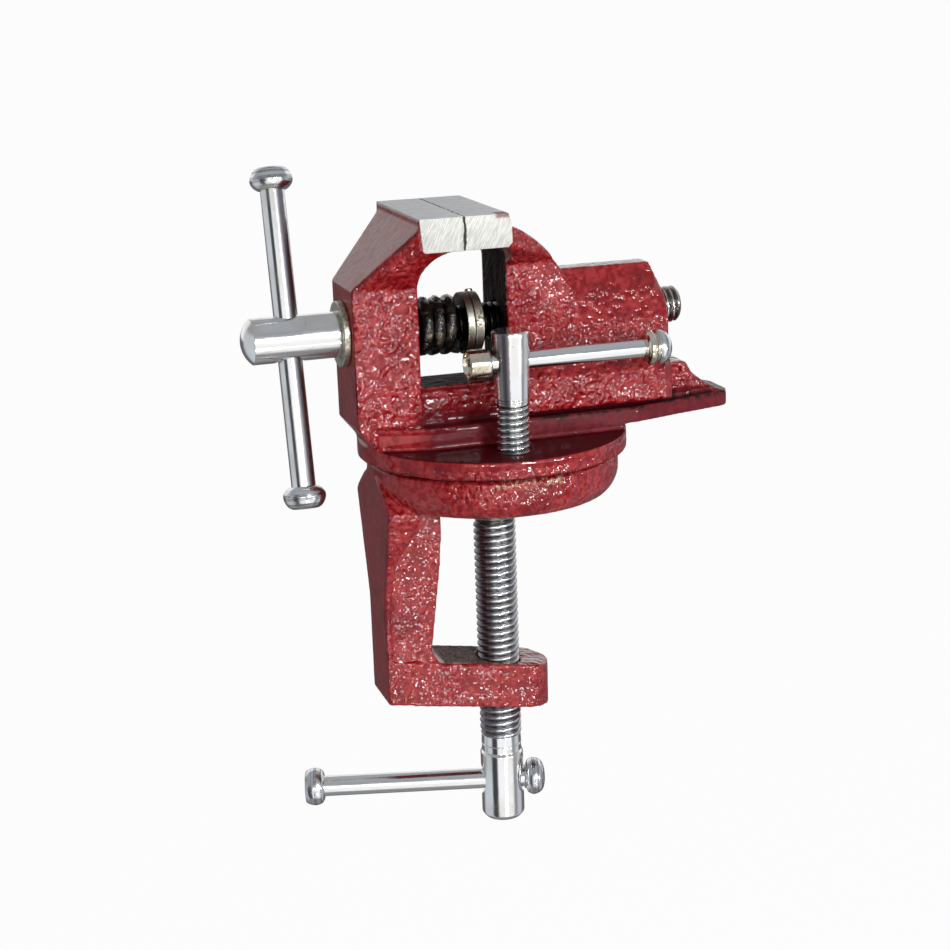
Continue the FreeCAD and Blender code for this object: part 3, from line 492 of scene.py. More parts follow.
finish = {
    "chrome": makePlating("chromePlate", rough=0.12),
    # the lock head, the main bar and the clamp thread carry a painted dark reflection down one side
    "lockChrome": makePlating("lockPlate", rough=0.12, darkReflection=(rightward, -0.72, -0.10)),
    "barChrome": makePlating("barPlate", stains=0.15, pits=0.25, rough=0.12),
    "mainBarChrome": makePlating("mainBarPlate", stains=0.3, pits=0.3, rough=0.14,
                                 darkReflection=(rightward, 0.22, 0.90)),
    "recessedCap": makePlating("recessedCap", tint=(0.78, 0.80, 0.83), stain=(0.50, 0.46, 0.36), stains=0.4,
                               rough=0.18, dullEnd=tuple(-value for value in clampLine)),
    "mainThread": makePlating("mainThreadSteel", tint=(0.50, 0.49, 0.47), stains=0.5, rough=0.2,
                              groove=screwGroove, greased=((-50, -10, 30), (12, 10, 60))),
    "clampThread": makePlating("clampThreadSteel", tint=(0.60, 0.62, 0.64), stains=0.2, rough=0.26,
                               groove=clampGroove, darkReflection=(rightward, -1.0, -0.45)),
    "lockThread": makePlating("lockThreadSteel", tint=(0.66, 0.68, 0.70), stains=0.2, rough=0.16,
                              groove=lockGroove),
    "goldCap": makePlating("strawCap", tint=(0.80, 0.76, 0.64), stain=(0.45, 0.33, 0.17), stains=0.5,
                           pits=0.7),
    "clearCap": makePlating("clearCap", tint=(0.78, 0.80, 0.83), stain=(0.60, 0.55, 0.44), stains=0.5,
                            rough=0.20),
    "washer": makePlating("dullZinc", tint=(0.62, 0.62, 0.54), stain=(0.36, 0.33, 0.22), stains=0.7, pits=0.8,
                          rough=0.34),
    "greasyRing": makePlating("greasyZinc", tint=(0.66, 0.66, 0.56), stain=(0.30, 0.27, 0.18), stains=0.8,
                              pits=0.9, rough=0.36, greasyFaces=True),
    "grease": makeGrease("blackGrease"),
    "tip": makeTipIron(),
}
print("finishes made")


# Making and finishing pieces

def newPiece(name, data=None):
    item = bpy.data.objects.new(name, data or bpy.data.meshes.new(name))
    bpy.context.scene.collection.objects.link(item)
    return item


def modify(item, kind, **settings):
    modifier = item.modifiers.new(kind.lower(), kind)
    for key, value in settings.items():
        setattr(modifier, key, value)
    return modifier


def bake(item):
    # replaces an object's mesh with what its modifiers make of it
    bpy.context.view_layer.update()
    shaped = item.evaluated_get(bpy.context.evaluated_depsgraph_get())
    mesh = bpy.data.meshes.new_from_object(shaped)
    item.modifiers.clear()
    item.data = mesh


def outwardFaces(mesh):
    shell = bmesh.new()
    shell.from_mesh(mesh)
    bmesh.ops.remove_doubles(shell, verts=shell.verts, dist=0.000002)
    bmesh.ops.recalc_face_normals(shell, faces=shell.faces)
    shell.to_mesh(mesh)
    shell.free()


def finishPiece(item, material=None, node=None, body=None, sharp=38):
    # without a material, the piece keeps those that it has
    if material:
        item.data.materials.clear()
        item.data.materials.append(material)
    item.data.shade_smooth()
    if sharp:
        item.data.set_sharp_from_angle(angle=math.radians(sharp))
    if node:
        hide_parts(node)
    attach(item, body or bodyOf[node])


def roundOff(points, step):
    # points are (radius, height) or (radius, height, fillet); long runs are cut into steps
    outline = []
    for place, point in enumerate(points):
        here = Vector(point[:2])
        fillet = point[2] if len(point) > 2 else 0
        if not fillet:
            outline.append(here)
            continue
        before = (Vector(points[place - 1][:2]) - here).normalized() * fillet
        after = (Vector(points[(place + 1) % len(points)][:2]) - here).normalized() * fillet
        outline.append(here + before * 1.5)
        for share in (0.0, 0.25, 0.5, 0.75, 1.0):
            outline.append(here + before * (1 - share) ** 2 + after * share ** 2)
        outline.append(here + after * 1.5)
    dense = [outline[0]]
    for here in outline[1:]:
        run = here - dense[-1]
        start = dense[-1]
        parts = max(1, math.ceil(run.length / step))
        for part in range(1, parts + 1):
            dense.append(start + run * part / parts)
    return dense


def dome(radius, height, depth, parts=7):
    # a spherical end of a given depth, from its pole at height out to radius
    sphere = (radius ** 2 + depth ** 2) / (2 * abs(depth))
    rise = math.copysign(1, depth)
    points = []
    for part in range(parts):
        across = radius * part / parts
        points.append((across, height + rise * (sphere - math.sqrt(sphere ** 2 - across ** 2))))
    return points


def turnPiece(name, points, place, step=3.0, around=96, ring=False):
    # a solid of revolution about local Z; a ring is closed on itself and has no poles
    outline = roundOff(points, step)
    if ring:
        outline = outline + [outline[0]]
    shell = bmesh.new()
    rows = []
    for radius, height in outline:
        if radius < 1e-6:
            rows.append([shell.verts.new((0, 0, height * mm))])
            continue
        rows.append([shell.verts.new((radius * mm * math.cos(tau * turn / around),
                                      radius * mm * math.sin(tau * turn / around), height * mm))
                     for turn in range(around)])
    for low, high in zip(rows, rows[1:]):
        for turn in range(around):
            corners = [low[turn % len(low)], low[(turn + 1) % len(low)],
                       high[(turn + 1) % len(high)], high[turn % len(high)]]
            shell.faces.new(list(dict.fromkeys(corners)))
    bmesh.ops.remove_doubles(shell, verts=shell.verts, dist=0.000002)
    bmesh.ops.recalc_face_normals(shell, faces=shell.faces)
    item = newPiece(name)
    shell.to_mesh(item.data)
    shell.free()
    item.data.transform(place)
    return item


def crossPlace(axis, along):
    # a place across a screw's line, for its hole or pin
    return axis @ Matrix.Translation((0, 0, along * mm)) @ Matrix.Rotation(-tau / 4, 4, "X")


def drill(item, axis, look, surface):
    # a cross hole with a countersunk mouth at both surfaces of a round hub
    bore, mouth, depth = look["bore"], look["mouth"], look["sink"]
    reach = surface + 2
    points = [(0, -reach), (mouth + reach - surface, -reach), (mouth, -surface), (bore, -surface + depth),
              (bore, surface - depth), (mouth, surface), (mouth + reach - surface, reach), (0, reach)]
    cutter = turnPiece("cutter", points, crossPlace(axis, look["hole"]), around=64)
    modify(item, "BOOLEAN", operation="DIFFERENCE", solver="EXACT", object=cutter)
    bake(item)
    bpy.data.objects.remove(cutter)


def joinPieces(name, items):
    # one mesh from several, keeping each one's material
    shell = bmesh.new()
    materials = []
    for item in items:
        first = len(shell.faces)
        shell.from_mesh(item.data)
        shell.faces.ensure_lookup_table()
        for face in shell.faces[first:]:
            face.material_index = len(materials)
        materials.append(item.data.materials[0])
    mesh = bpy.data.meshes.new(name)
    shell.to_mesh(mesh)
    shell.free()
    for material in materials:
        mesh.materials.append(material)
    for item in items:
        bpy.data.objects.remove(item)
    return newPiece(name, mesh)


# Castings: the CAD solid with the rounded edges and uneven skin of sand-cast iron

castings = {
    # sizes in mm; wave is the way in which a disc's edge draws back from the joint between the discs,
    # under is the box that a bare tip covers, and each mark has its low and high corner
    "clamp_frame": {
        "voxel": 0.50, "soften": 3, "lumps": 0.10, "bumps": 0.42, "pit": 1.2, "wave": -1,
        "marks": [
            ("bare", (-17.0, -6.9, -52), (-4.0, 7.5, -39)),
            ("leftSmooth", (-50, -30, -70), (0, 30, 12)),
            ("dust", (-9, -34, 8.3), (8, -30, 10.2)),
            ("seam", (-60, -60, 9.9), (60, 60, 11.5)),
        ],
    },
    "fixed_jaw_body": {
        "voxel": 0.55, "soften": 3, "lumps": 0.09, "bumps": 0.66, "pit": 1.4, "wave": 1,
        "under": ((-22.45, -20.1, 64.72), (-11.30, 20.1, 73.1)),
        "marks": [
            ("leftSmooth", (-50, -50, 0), (-15, 50, 76)),
            ("smooth", (-33, -40, 14), (70, 40, 20.0)),
            ("smooth", (-14, -40, 15), (70, 40, 22.0)),
            ("darkTray", (-22, -26, 13.5), (76, 26, 23.5)),
            ("shadow", (-45, -45, 13), (45, 45, 16.4)),
            ("seam", (-60, -60, 9.9), (60, 60, 11.1)),
            ("darkPatches", (8, -16, 20), (62, -6, 22.3)),
            ("darkPatches", (8, 6, 20), (62, 16, 22.3)),
            ("grease", (-21.1, -9.5, 22), (-20.2, 9.5, 62)),
            ("grease", (-20.5, -6.3, 29), (1.5, 6.3, 31)),
        ],
    },
    "moving_jaw_body": {
        "voxel": 0.50, "soften": 3, "lumps": 0.09, "bumps": 0.85, "pit": 1.4,
        "under": ((-11.30, -20.1, 64.80), (0.62, 20.1, 73.1)),
        "marks": [
            ("grease", (1.2, -9.4, 20), (2.9, 9.4, 64)),
            ("calm", (8, -14, 52), (50, 14, 76)),
            ("smooth", (43.9, -14, 20), (46, 14, 60)),
        ],
    },
}
skinLook = {"wide": 6.0, "wideShare": 0.6, "small": 2.2, "smallShare": 0.4}     # lumps in mm
parting = {"level": 10.65, "reach": 2.2, "inside": 27.0, "fade": 3.0, "least": 0.10, "wander": 0.34,
           "length": 7.5}
tipFit = {"shrink": 0.14, "margin": 0.1, "beside": 0.4}


def skinLumps(mesh, height):
    # pushes the skin in by an uneven amount, so that it never leaves the solid
    look = skinLook
    normals = [normal.vector.copy() for normal in mesh.vertex_normals]
    for vertex, normal in zip(mesh.vertices, normals):
        place = vertex.co * 1000
        wide = noise.noise(place / look["wide"]) * look["wideShare"]
        wide += noise.noise(place / look["small"] + Vector((9, 4, 1))) * look["smallShare"]
        vertex.co -= normal * (0.5 + 0.5 * wide) * height * mm


def partingWave(mesh, way):
    # the joint between the two discs wanders; each edge only draws back, so that they never meet in a turn
    look = parting
    for vertex in mesh.vertices:
        x, y, z = vertex.co * 1000
        outside = (math.hypot(x, y) - look["inside"]) / look["fade"]
        near = max(0.0, 1 - abs(z - look["level"]) / look["reach"]) * min(1.0, max(0.0, outside))
        if near:
            drift = look["wander"] * noise.noise(Vector((x, y, way * 5)) / look["length"])
            vertex.co.z += way * near * mm * max(0.0, look["least"] + drift)


def underTip(mesh, low, high):
    # draws the skin in under a bare tip, on all its sides but the one that joins the casting
    shrink, beside = tipFit["shrink"], tipFit["beside"]
    inset = tipFit["margin"] + shrink
    fixed = low[0] < -20
    for vertex in mesh.vertices:
        x, y, z = vertex.co * 1000
        if not (low[0] - beside < x < high[0] + beside and z > low[2]):
            continue
        vertex.co.z = min(z, high[2] - inset) * mm
        vertex.co.y = max(low[1] + inset, min(high[1] - inset, y)) * mm
        if not fixed or x > (low[0] + high[0]) / 2:
            vertex.co.x = max(low[0] + shrink, min(high[0] - shrink, x)) * mm


def dressCasting(node):
    look = castings[node]
    mesh = frame["nodes"][node].data.copy()
    outwardFaces(mesh)
    item = newPiece(node + "Casting", mesh)
    modify(item, "REMESH", mode="VOXEL", voxel_size=look["voxel"] * mm)
    modify(item, "SMOOTH", factor=0.5, iterations=look["soften"])
    bake(item)
    skinLumps(item.data, look["lumps"])
    if "wave" in look:
        partingWave(item.data, look["wave"])
    if "under" in look:
        underTip(item.data, *look["under"])
    finishPiece(item, makeEnamel(node + "Enamel", look), node, sharp=0)
    print(item.name, len(item.data.polygons), "faces")


# Bare tips of the jaws

tipBlock = {"half": 19.98, "edge": 0.20, "segments": 3}
tipOutlines = {
    "fixed_jaw_body": [(-22.45, 73), (-11.33, 73), (-11.33, 64.75), (-21.2, 64.75), (-21.75, 65.3)],
    "moving_jaw_body": [(-11.27, 73), (-0.2, 73), (0.62, 69.8), (0.62, 65.9), (-0.4, 64.8), (-11.27, 64.8)],
}


def makeTip(node):
    half = tipBlock["half"]
    shell = bmesh.new()
    corners = [shell.verts.new((x * mm, -half * mm, z * mm)) for x, z in tipOutlines[node]]
    face = shell.faces.new(corners)
    grown = bmesh.ops.extrude_face_region(shell, geom=[face])
    moved = [part for part in grown["geom"] if isinstance(part, bmesh.types.BMVert)]
    bmesh.ops.translate(shell, verts=moved, vec=(0, 2 * half * mm, 0))
    bmesh.ops.recalc_face_normals(shell, faces=shell.faces)
    item = newPiece(node + "Tip")
    shell.to_mesh(item.data)
    shell.free()
    modify(item, "BEVEL", width=tipBlock["edge"] * mm, segments=tipBlock["segments"], limit_method="ANGLE")
    bake(item)
    finishPiece(item, finish["tip"], body=bodyOf[node], sharp=25)


# Trees that grow pieces

def newShapeTree(name, sizes, counts=()):
    tree = bpy.data.node_groups.new(name, "GeometryNodeTree")
    for label in (*sizes, *counts):
        kind = "NodeSocketInt" if label in counts else "NodeSocketFloat"
        tree.interface.new_socket(label, in_out="INPUT", socket_type=kind)
    tree.interface.new_socket("Geometry", in_out="OUTPUT", socket_type="NodeSocketGeometry")
    return tree, tree.nodes.new("NodeGroupInput").outputs


def closeShapeTree(tree, shape):
    end = tree.nodes.new("NodeGroupOutput")
    tree.links.new(shape, end.inputs[0])


def makeThreadTree():
    # a threaded rod, from a grid that is wrapped round and closed at both ends
    tree, given = newShapeTree("threadedRod", ["Radius", "Depth", "Pitch", "Length", "Root"],
                               ["Around", "Rows"])
    grid = addNode(tree, "GeometryNodeMeshGrid", {"Size X": 1.0, "Size Y": 1.0})
    setInput(tree, grid.inputs["Vertices X"], plus(tree, given["Around"], 1.0))
    setInput(tree, grid.inputs["Vertices Y"], given["Rows"])
    position = tree.nodes.new("GeometryNodeInputPosition").outputs[0]
    spot = xyzOf(tree, position)
    turn = plus(tree, spot[0], 0.5)
    last = minus(tree, given["Rows"], 1.0)
    row = maths(tree, "ROUND", times(tree, plus(tree, spot[1], 0.5), last))
    share = maths(tree, "DIVIDE", minus(tree, row, 1.0), minus(tree, given["Rows"], 3.0), clamp=True)
    height = times(tree, share, given["Length"])
    phase = maths(tree, "FRACT", minus(tree, maths(tree, "DIVIDE", height, given["Pitch"]), turn))
    tooth = maths(tree, "ABSOLUTE", minus(tree, times(tree, phase, 2.0), 1.0))
    groove = ramp(tree, tooth, given["Root"], 1.0)
    radius = minus(tree, given["Radius"], times(tree, given["Depth"], groove))
    fromEnd = maths(tree, "MINIMUM", height, minus(tree, given["Length"], height))
    core = minus(tree, given["Radius"], times(tree, given["Depth"], 1.1))
    radius = maths(tree, "MINIMUM", radius, plus(tree, core, fromEnd))
    closing = maths(tree, "MINIMUM", row, minus(tree, last, row), clamp=True)
    radius = times(tree, radius, closing)
    angle = times(tree, turn, tau)
    across = times(tree, radius, maths(tree, "COSINE", angle))
    along = times(tree, radius, maths(tree, "SINE", angle))
    spotOut = addNode(tree, "ShaderNodeCombineXYZ", {0: across, 1: along, 2: height}).outputs[0]
    wrapped = addNode(tree, "GeometryNodeSetPosition",
                      {"Geometry": grid.outputs["Mesh"], "Position": spotOut})
    closed = addNode(tree, "GeometryNodeMergeByDistance",
                     {"Geometry": wrapped.outputs[0], "Distance": 0.000002})
    closeShapeTree(tree, closed.outputs[0])
    return tree


def grow(name, tree, values, place):
    # runs a node tree on an empty object and keeps the result as a plain mesh
    item = newPiece(name)
    modifier = modify(item, "NODES", node_group=tree)
    for socket in tree.interface.items_tree:
        if socket.item_type == "SOCKET" and socket.in_out == "INPUT" and socket.name in values:
            modifier[socket.identifier] = values[socket.name]
    bake(item)
    item.data.transform(place)
    return item


threadTree = makeThreadTree()


def threadedRod(name, look, place, material):
    values = {"Radius": look["radius"] * mm, "Depth": look["depth"] * mm, "Pitch": look["pitch"] * mm,
              "Length": look["length"] * mm, "Root": look["root"], "Around": look["around"],
              "Rows": round(look["length"] / look["pitch"] * look["rowsPerPitch"]) + 3}
    rod = grow(name, threadTree, values, place @ Matrix.Translation((0, 0, look["start"] * mm)))
    rod.data.materials.clear()
    rod.data.materials.append(material)
    return rod


def makeScrew(name, node, axis, look, outline, surface, metals, more=()):
    # a head with a cross hole and a threaded rod, in one piece with any further parts
    head = turnPiece(name + "Head", outline, axis, step=look["step"])
    drill(head, axis, look, surface)
    head.data.materials.append(finish[metals[0]])
    rod = threadedRod(name + "Rod", look["thread"], axis, finish[metals[1]])
    finishPiece(joinPieces(name + "Piece", [head, rod, *more]), node=node)


# Main screw, its rings and the return spring

mainScrew = {
    "hubEnd": -63.2, "hubFace": -39.1, "hubRadius": 5.7, "domeDepth": 2.6, "hole": -51.4, "bore": 3.12,
    "mouth": 3.95, "sink": 0.8, "step": 0.8,
    "thread": {"radius": 4.7, "depth": 0.78, "pitch": 1.5875, "start": -40.0, "length": 91.2, "root": 0.15,
               "around": 60, "rowsPerPitch": 10},
}


def makeMainScrew():
    look = mainScrew
    points = dome(look["hubRadius"], look["hubEnd"], look["domeDepth"])
    points += [(look["hubRadius"], look["hubEnd"] + look["domeDepth"], 0.12),
               (look["hubRadius"], look["hubFace"], 0.15), (0, look["hubFace"])]
    makeScrew("mainScrew", "main_screw", mainAxis, look, points, look["hubRadius"], ("chrome", "mainThread"))


screwRings = {
    # bore, radius, start along the screw, thickness and edge in mm, and finish
    "thrust_washer": (4.75, 8.2, -39.1, 1.7, 0.28, "washer"),
    "spring_washer": (4.75, 7.8, -7.5, 2.0, 0.35, "greasyRing"),
    "screw_collar": (4.7, 7.8, -5.5, 2.4, 0.45, "greasyRing"),
}
collarPin = {"along": -4.3, "radius": 1.0, "half": 8.4, "edge": 0.25}


def makeScrewRings():
    for node, (bore, radius, start, thick, edge, look) in screwRings.items():
        points = [(bore, start), (radius, start, edge), (radius, start + thick, edge), (bore, start + thick)]
        finishPiece(turnPiece(node + "Piece", points, mainAxis, ring=True), finish[look], node)
    radius, half, edge = collarPin["radius"], collarPin["half"], collarPin["edge"]
    pin = turnPiece("collarPinPiece", [(0, -half), (radius, -half, edge), (radius, half, edge), (0, half)],
                    crossPlace(mainAxis, collarPin["along"]), around=32)
    finishPiece(pin, finish["clearCap"], "collar_pin")


spring = {"turns": 3.3, "radius": 6.1, "wire": 1.72, "start": -18.9, "length": 10.0, "wander": 1.1,
          "seed": 4.0}


def makeSpringTree():
    # an open coil of wire that strays a little and carries lumps of grease
    tree, given = newShapeTree("greasedCoil", ["Turns", "Radius", "Wire", "Length", "Wander", "Seed"])
    coil = addNode(tree, "GeometryNodeCurveSpiral", {
        "Resolution": 40, "Rotations": given["Turns"], "Start Radius": given["Radius"],
        "End Radius": given["Radius"], "Height": given["Length"]})
    wire = addNode(tree, "GeometryNodeCurvePrimitiveCircle", {"Resolution": 24, "Radius": given["Wire"]})
    drift = addNode(tree, "ShaderNodeTexNoise", {"W": given["Seed"], "Scale": 130.0, "Detail": 1.0},
                    noise_dimensions="4D")
    shift = vectors(tree, "SUBTRACT", drift.outputs["Color"], (0.5, 0.5, 0.5))
    shift = addNode(tree, "ShaderNodeVectorMath", {0: shift, "Scale": given["Wander"]}, operation="SCALE")
    loose = addNode(tree, "GeometryNodeSetPosition",
                    {"Geometry": coil.outputs[0], "Offset": shift.outputs[0]})
    tube = addNode(tree, "GeometryNodeCurveToMesh", {
        "Curve": loose.outputs[0], "Profile Curve": wire.outputs[0], "Fill Caps": True})
    lumps = addNode(tree, "ShaderNodeTexNoise", {"W": given["Seed"], "Scale": 700.0, "Detail": 2.0},
                    noise_dimensions="4D")
    swell = times(tree, minus(tree, lumps.outputs["Fac"], 0.75), given["Wander"])
    normal = tree.nodes.new("GeometryNodeInputNormal").outputs[0]
    push = addNode(tree, "ShaderNodeVectorMath", {0: normal, "Scale": swell}, operation="SCALE")
    lumpy = addNode(tree, "GeometryNodeSetPosition", {"Geometry": tube.outputs[0], "Offset": push.outputs[0]})
    closeShapeTree(tree, lumpy.outputs[0])
    return tree


def makeSpring():
    values = {"Turns": spring["turns"], "Radius": spring["radius"] * mm, "Wire": spring["wire"] * mm,
              "Length": spring["length"] * mm, "Wander": spring["wander"] * mm, "Seed": spring["seed"]}
    place = mainAxis @ Matrix.Translation((0, 0, spring["start"] * mm))
    coil = grow("returnSpringPiece", makeSpringTree(), values, place)
    outwardFaces(coil.data)
    finishPiece(coil, finish["grease"], "return_spring", sharp=0)


# Sliding bars and their end caps

# Half outlines of the caps, as (radius, height) or (radius, height, fillet) in mm from the foot up
buttonCap = [(3.05, 0.15), (3.55, 0.0, 0.2), (4.35, 0.55, 0.3), (5.15, 1.5, 0.6), (5.3, 2.5, 0.5),
             (5.05, 3.7, 0.8), (4.2, 4.95, 0.7), (3.5, 5.35, 0.4), (1.5, 5.6, 0.3), (0, 5.65)]
ballCap = [(2.8, 0.1), (3.15, 0.0, 0.15), (3.3, 0.5, 0.1), (4.3, 0.9, 0.3), (4.95, 2.0, 0.6),
           (4.95, 3.0, 0.6), (4.4, 4.4, 0.8), (3.2, 5.2, 0.8), (1.6, 5.55, 0.5), (0, 5.6)]
discCap = [(2.8, 0.1), (3.3, 0.0, 0.2), (4.4, 0.6, 0.4), (4.95, 1.8, 0.7), (5.0, 2.9, 0.5), (4.6, 4.4, 0.6),
           (4.0, 5.15, 0.5), (3.4, 5.2, 0.2), (3.0, 4.85, 0.3), (0, 4.8)]
capRing = [(2.3, 0.1), (3.4, 0.0, 0.3), (4.25, 0.7, 0.3), (4.3, 1.9, 0.4), (3.5, 2.7, 0.1), (0, 2.7)]
capDome = [(3.45, 2.3), (3.5, 2.75, 0.1), (4.3, 3.1, 0.3), (4.4, 4.2, 0.6), (3.8, 5.7, 0.8), (2.2, 6.7, 0.6),
           (0, 6.9)]
dishedCap = [(2.3, 0.0), (3.45, 0.0, 0.3), (3.7, 0.5, 0.2), (3.7, 5.2, 0.2), (3.45, 5.6, 0.15),
             (3.15, 5.55, 0.1), (2.9, 4.6, 0.3), (0, 4.4)]

handles = {
    # sizes in mm; each cap has its foot on the bar's line and the outlines and finishes of its parts
    "main_bar": {
        "axis": handleAxis, "radius": 3.0, "low": -40.4, "high": 40.4, "finish": "mainBarChrome",
        "caps": {"main_bar_cap_upper": (36.3, [(buttonCap, "clearCap")]),
                 "main_bar_cap_lower": (-36.3, [(buttonCap, "clearCap")])},
    },
    "lock_bar": {
        "axis": lockBarAxis, "radius": 2.25, "low": -9.7, "high": 39.9, "finish": "barChrome",
        "caps": {"lock_bar_cap_left": (-5.7, [(dishedCap, "goldCap")]),
                 "lock_bar_cap_right": (34.6, [(capRing, "goldCap"), (capDome, "clearCap")])},
    },
    "clamp_bar": {
        "axis": clampBarAxis, "radius": 2.7, "low": -51.8, "high": 9.8, "finish": "barChrome",
        "caps": {"clamp_bar_cap_right": (5.8, [(ballCap, "clearCap")]),
                 "clamp_bar_cap_left": (-47.8, [(discCap, "recessedCap")])},
    },
}
barEdge = 0.2


def makeBar(node, bar):
    points = [(0, bar["low"]), (bar["radius"], bar["low"], barEdge), (bar["radius"], bar["high"], barEdge),
              (0, bar["high"])]
    finishPiece(turnPiece(node + "Piece", points, bar["axis"], step=4.0), finish[bar["finish"]], node)


def makeCap(node, axis, foot, parts):
    # a cap below the middle of its line points the other way
    place = axis @ Matrix.Translation((0, 0, foot * mm))
    if foot < 0:
        place = place @ Matrix.Rotation(math.pi, 4, "X")
    if len(parts) == 1:
        profile, look = parts[0]
        cap = turnPiece(node + "Piece", [(0, profile[0][1] + 0.4)] + profile, place)
        finishPiece(cap, finish[look], node, sharp=50)
        return
    turned = []
    for profile, look in parts:
        part = turnPiece(node + "Part", [(0, profile[0][1] + 0.1)] + profile, place, step=0.7)
        part.data.materials.append(finish[look])
        turned.append(part)
    finishPiece(joinPieces(node + "Piece", turned), node=node)


def makeHandles():
    for node, bar in handles.items():
        makeBar(node, bar)
        for cap, (foot, parts) in bar["caps"].items():
            makeCap(cap, bar["axis"], foot, parts)


# Lock screw

lockScrew = {
    "neck": 27.1, "headFoot": 28.4, "waist": 33.6, "top": 45.2, "hole": lockCentre.z / mm, "bore": 2.35,
    "mouth": 3.0, "sink": 0.6, "surface": 4.4, "step": 0.7,
    "thread": {"radius": 4.1, "depth": 0.62, "pitch": 1.6, "start": 10.8, "length": 16.6, "root": 0.15,
               "around": 64, "rowsPerPitch": 12},
}


def makeLockScrew():
    # a plain neck with two fine grooves under a head that widens upwards
    look = lockScrew
    neck, foot, top = look["neck"], look["headFoot"], look["top"]
    points = [(0, neck - 1.0), (3.7, neck - 1.0), (4.12, neck, 0.2), (4.15, foot - 0.75, 0.05),
              (4.02, foot - 0.62, 0.05), (4.17, foot - 0.49, 0.05), (4.17, foot - 0.13, 0.05),
              (4.05, foot, 0.05), (4.3, foot + 0.15, 0.08), (4.45, look["waist"]), (4.68, top - 0.6),
              (4.6, top - 0.25, 0.15), (4.2, top, 0.15), (0, top)]
    makeScrew("lockScrew", "lock_screw", lockAxis, look, points, look["surface"],
              ("lockChrome", "lockThread"))


# Clamp screw and its pad

clampScrew = {
    "surface": 5.7, "hole": clampCentre.z / mm, "bore": 2.85, "mouth": 4.3, "sink": 1.4, "step": 0.8,
    "hub": [(0, -91.8), (4.7, -91.8, 0.3), (5.7, -90.6, 0.4), (5.7, -73.4, 0.15), (5.45, -72.9, 0.1),
            (5.25, -72.6, 0.1), (5.3, -70.9, 0.1), (5.15, -70.7, 0.05), (5.3, -70.5, 0.05),
            (5.2, -68.0, 0.15), (0, -68.0)],
    "thread": {"radius": 5.5, "depth": 0.80, "pitch": 1.8143, "start": -68.4, "length": 60.4, "root": 0.20,
               "around": 72, "rowsPerPitch": 11},
    "neck": [(0, -9.0), (4.5, -9.0), (4.5, -7.1, 0.2), (3.0, -7.1), (3.0, -3.5), (4.4, -3.5, 0.1),
             (4.4, -2.5, 0.1), (3.4, -1.9, 0.1), (0, -1.9)],
}
clampPad = [(3.05, -7.0), (7.4, -7.0, 0.3), (9.0, -5.2, 0.5), (9.0, -1.4, 0.3), (5.4, -1.4, 0.2),
            (5.3, -3.6), (3.05, -3.6)]


def makeClampScrew():
    # a handled hub, the thread, and a thin neck whose riveted end holds the pad
    look = clampScrew
    neck = turnPiece("clampNeck", look["neck"], clampAxis)
    neck.data.materials.append(finish["clampThread"])
    makeScrew("clampScrew", "clamp_screw", clampAxis, look, look["hub"], look["surface"],
              ("chrome", "clampThread"), [neck])
    pad = turnPiece("clampPadPiece", clampPad, Matrix.Identity(4), ring=True)
    finishPiece(pad, finish["washer"], "clamp_pad")


for nodeName in castings:
    dressCasting(nodeName)
for nodeName in tipOutlines:
    makeTip(nodeName)
print("castings and tips made")
makeMainScrew()
makeScrewRings()
makeSpring()
print("main screw made")
makeLockScrew()
makeClampScrew()
makeHandles()
print("screws and handles made")
for nodeName in ("pivot_bolt", "pivot_washer"):
    fastener = frame["nodes"][nodeName].data
    fastener.materials.clear()
    fastener.materials.append(finish["washer"])


# Stage, light and camera

camera = {
    "lens": 72.0,
    "place": (-142.53, -450.56, 132.58),
    "right": (0.953031, -0.301001, -0.033662),
    "up": (0.110476, 0.241986, 0.963970),
    "back": (-0.282009, -0.922411, 0.263873),
}


def makeCamera():
    data = bpy.data.cameras.new("view")
    data.lens = camera["lens"]
    data.sensor_width = 36.0
    data.clip_start = 0.01
    item = newPiece("view", data)
    turn = Matrix((camera["right"], camera["up"], camera["back"])).transposed()
    item.matrix_world = Matrix.Translation(Vector(camera["place"]) * mm) @ turn.to_4x4()
    bpy.context.scene.camera = item


stage = {
    "front": (-0.2924, -0.9563, 0.0),     # level direction from the vise towards its front
    "side": (0.9563, -0.2924, 0.0),
    "floor": -0.1305,                     # below the clamp screw's hub when it is screwed right down
    "floorReach": 60,
    "screens": [                          # share of a turn, from behind by the left to behind, and brightness
        (0.00, (0.55, 0.56, 0.58)), (0.17, (0.62, 0.65, 0.69)), (0.33, (0.66, 0.70, 0.74)),
        (0.355, (0.06, 0.06, 0.07)), (0.42, (0.06, 0.06, 0.07)), (0.445, (1.10, 1.10, 1.10)),
        (0.66, (1.10, 1.10, 1.10)), (0.685, (0.30, 0.30, 0.33)), (0.72, (0.32, 0.32, 0.35)),
        (0.75, (0.62, 0.65, 0.70)), (1.00, (0.60, 0.60, 0.62)),
    ],
    "cove": ((0.36, 0.38, 0.41), 0.26, 0.42),        # colour, and the levels that it fades in between
    "ceiling": ((0.42, 0.43, 0.45), 0.66, 0.84),
    "pit": ((0.30, 0.30, 0.31), -0.72, -0.86),
    "table": ((0.16, 0.15, 0.16), -0.02, -0.14),
    "plain": 0.95,                                   # light on dull surfaces, which comes from the front
    "plainAhead": (-0.5, 0.9, 0.16, 1.0),
    "plainLevel": (0.75, 0.15, 0.14, 1.0),
    "behind": (-0.30, -0.55),
    "backdrop": ((0.62, 0.50), (-0.12, 0.0)),        # its top and its foot, as metal shows them
}


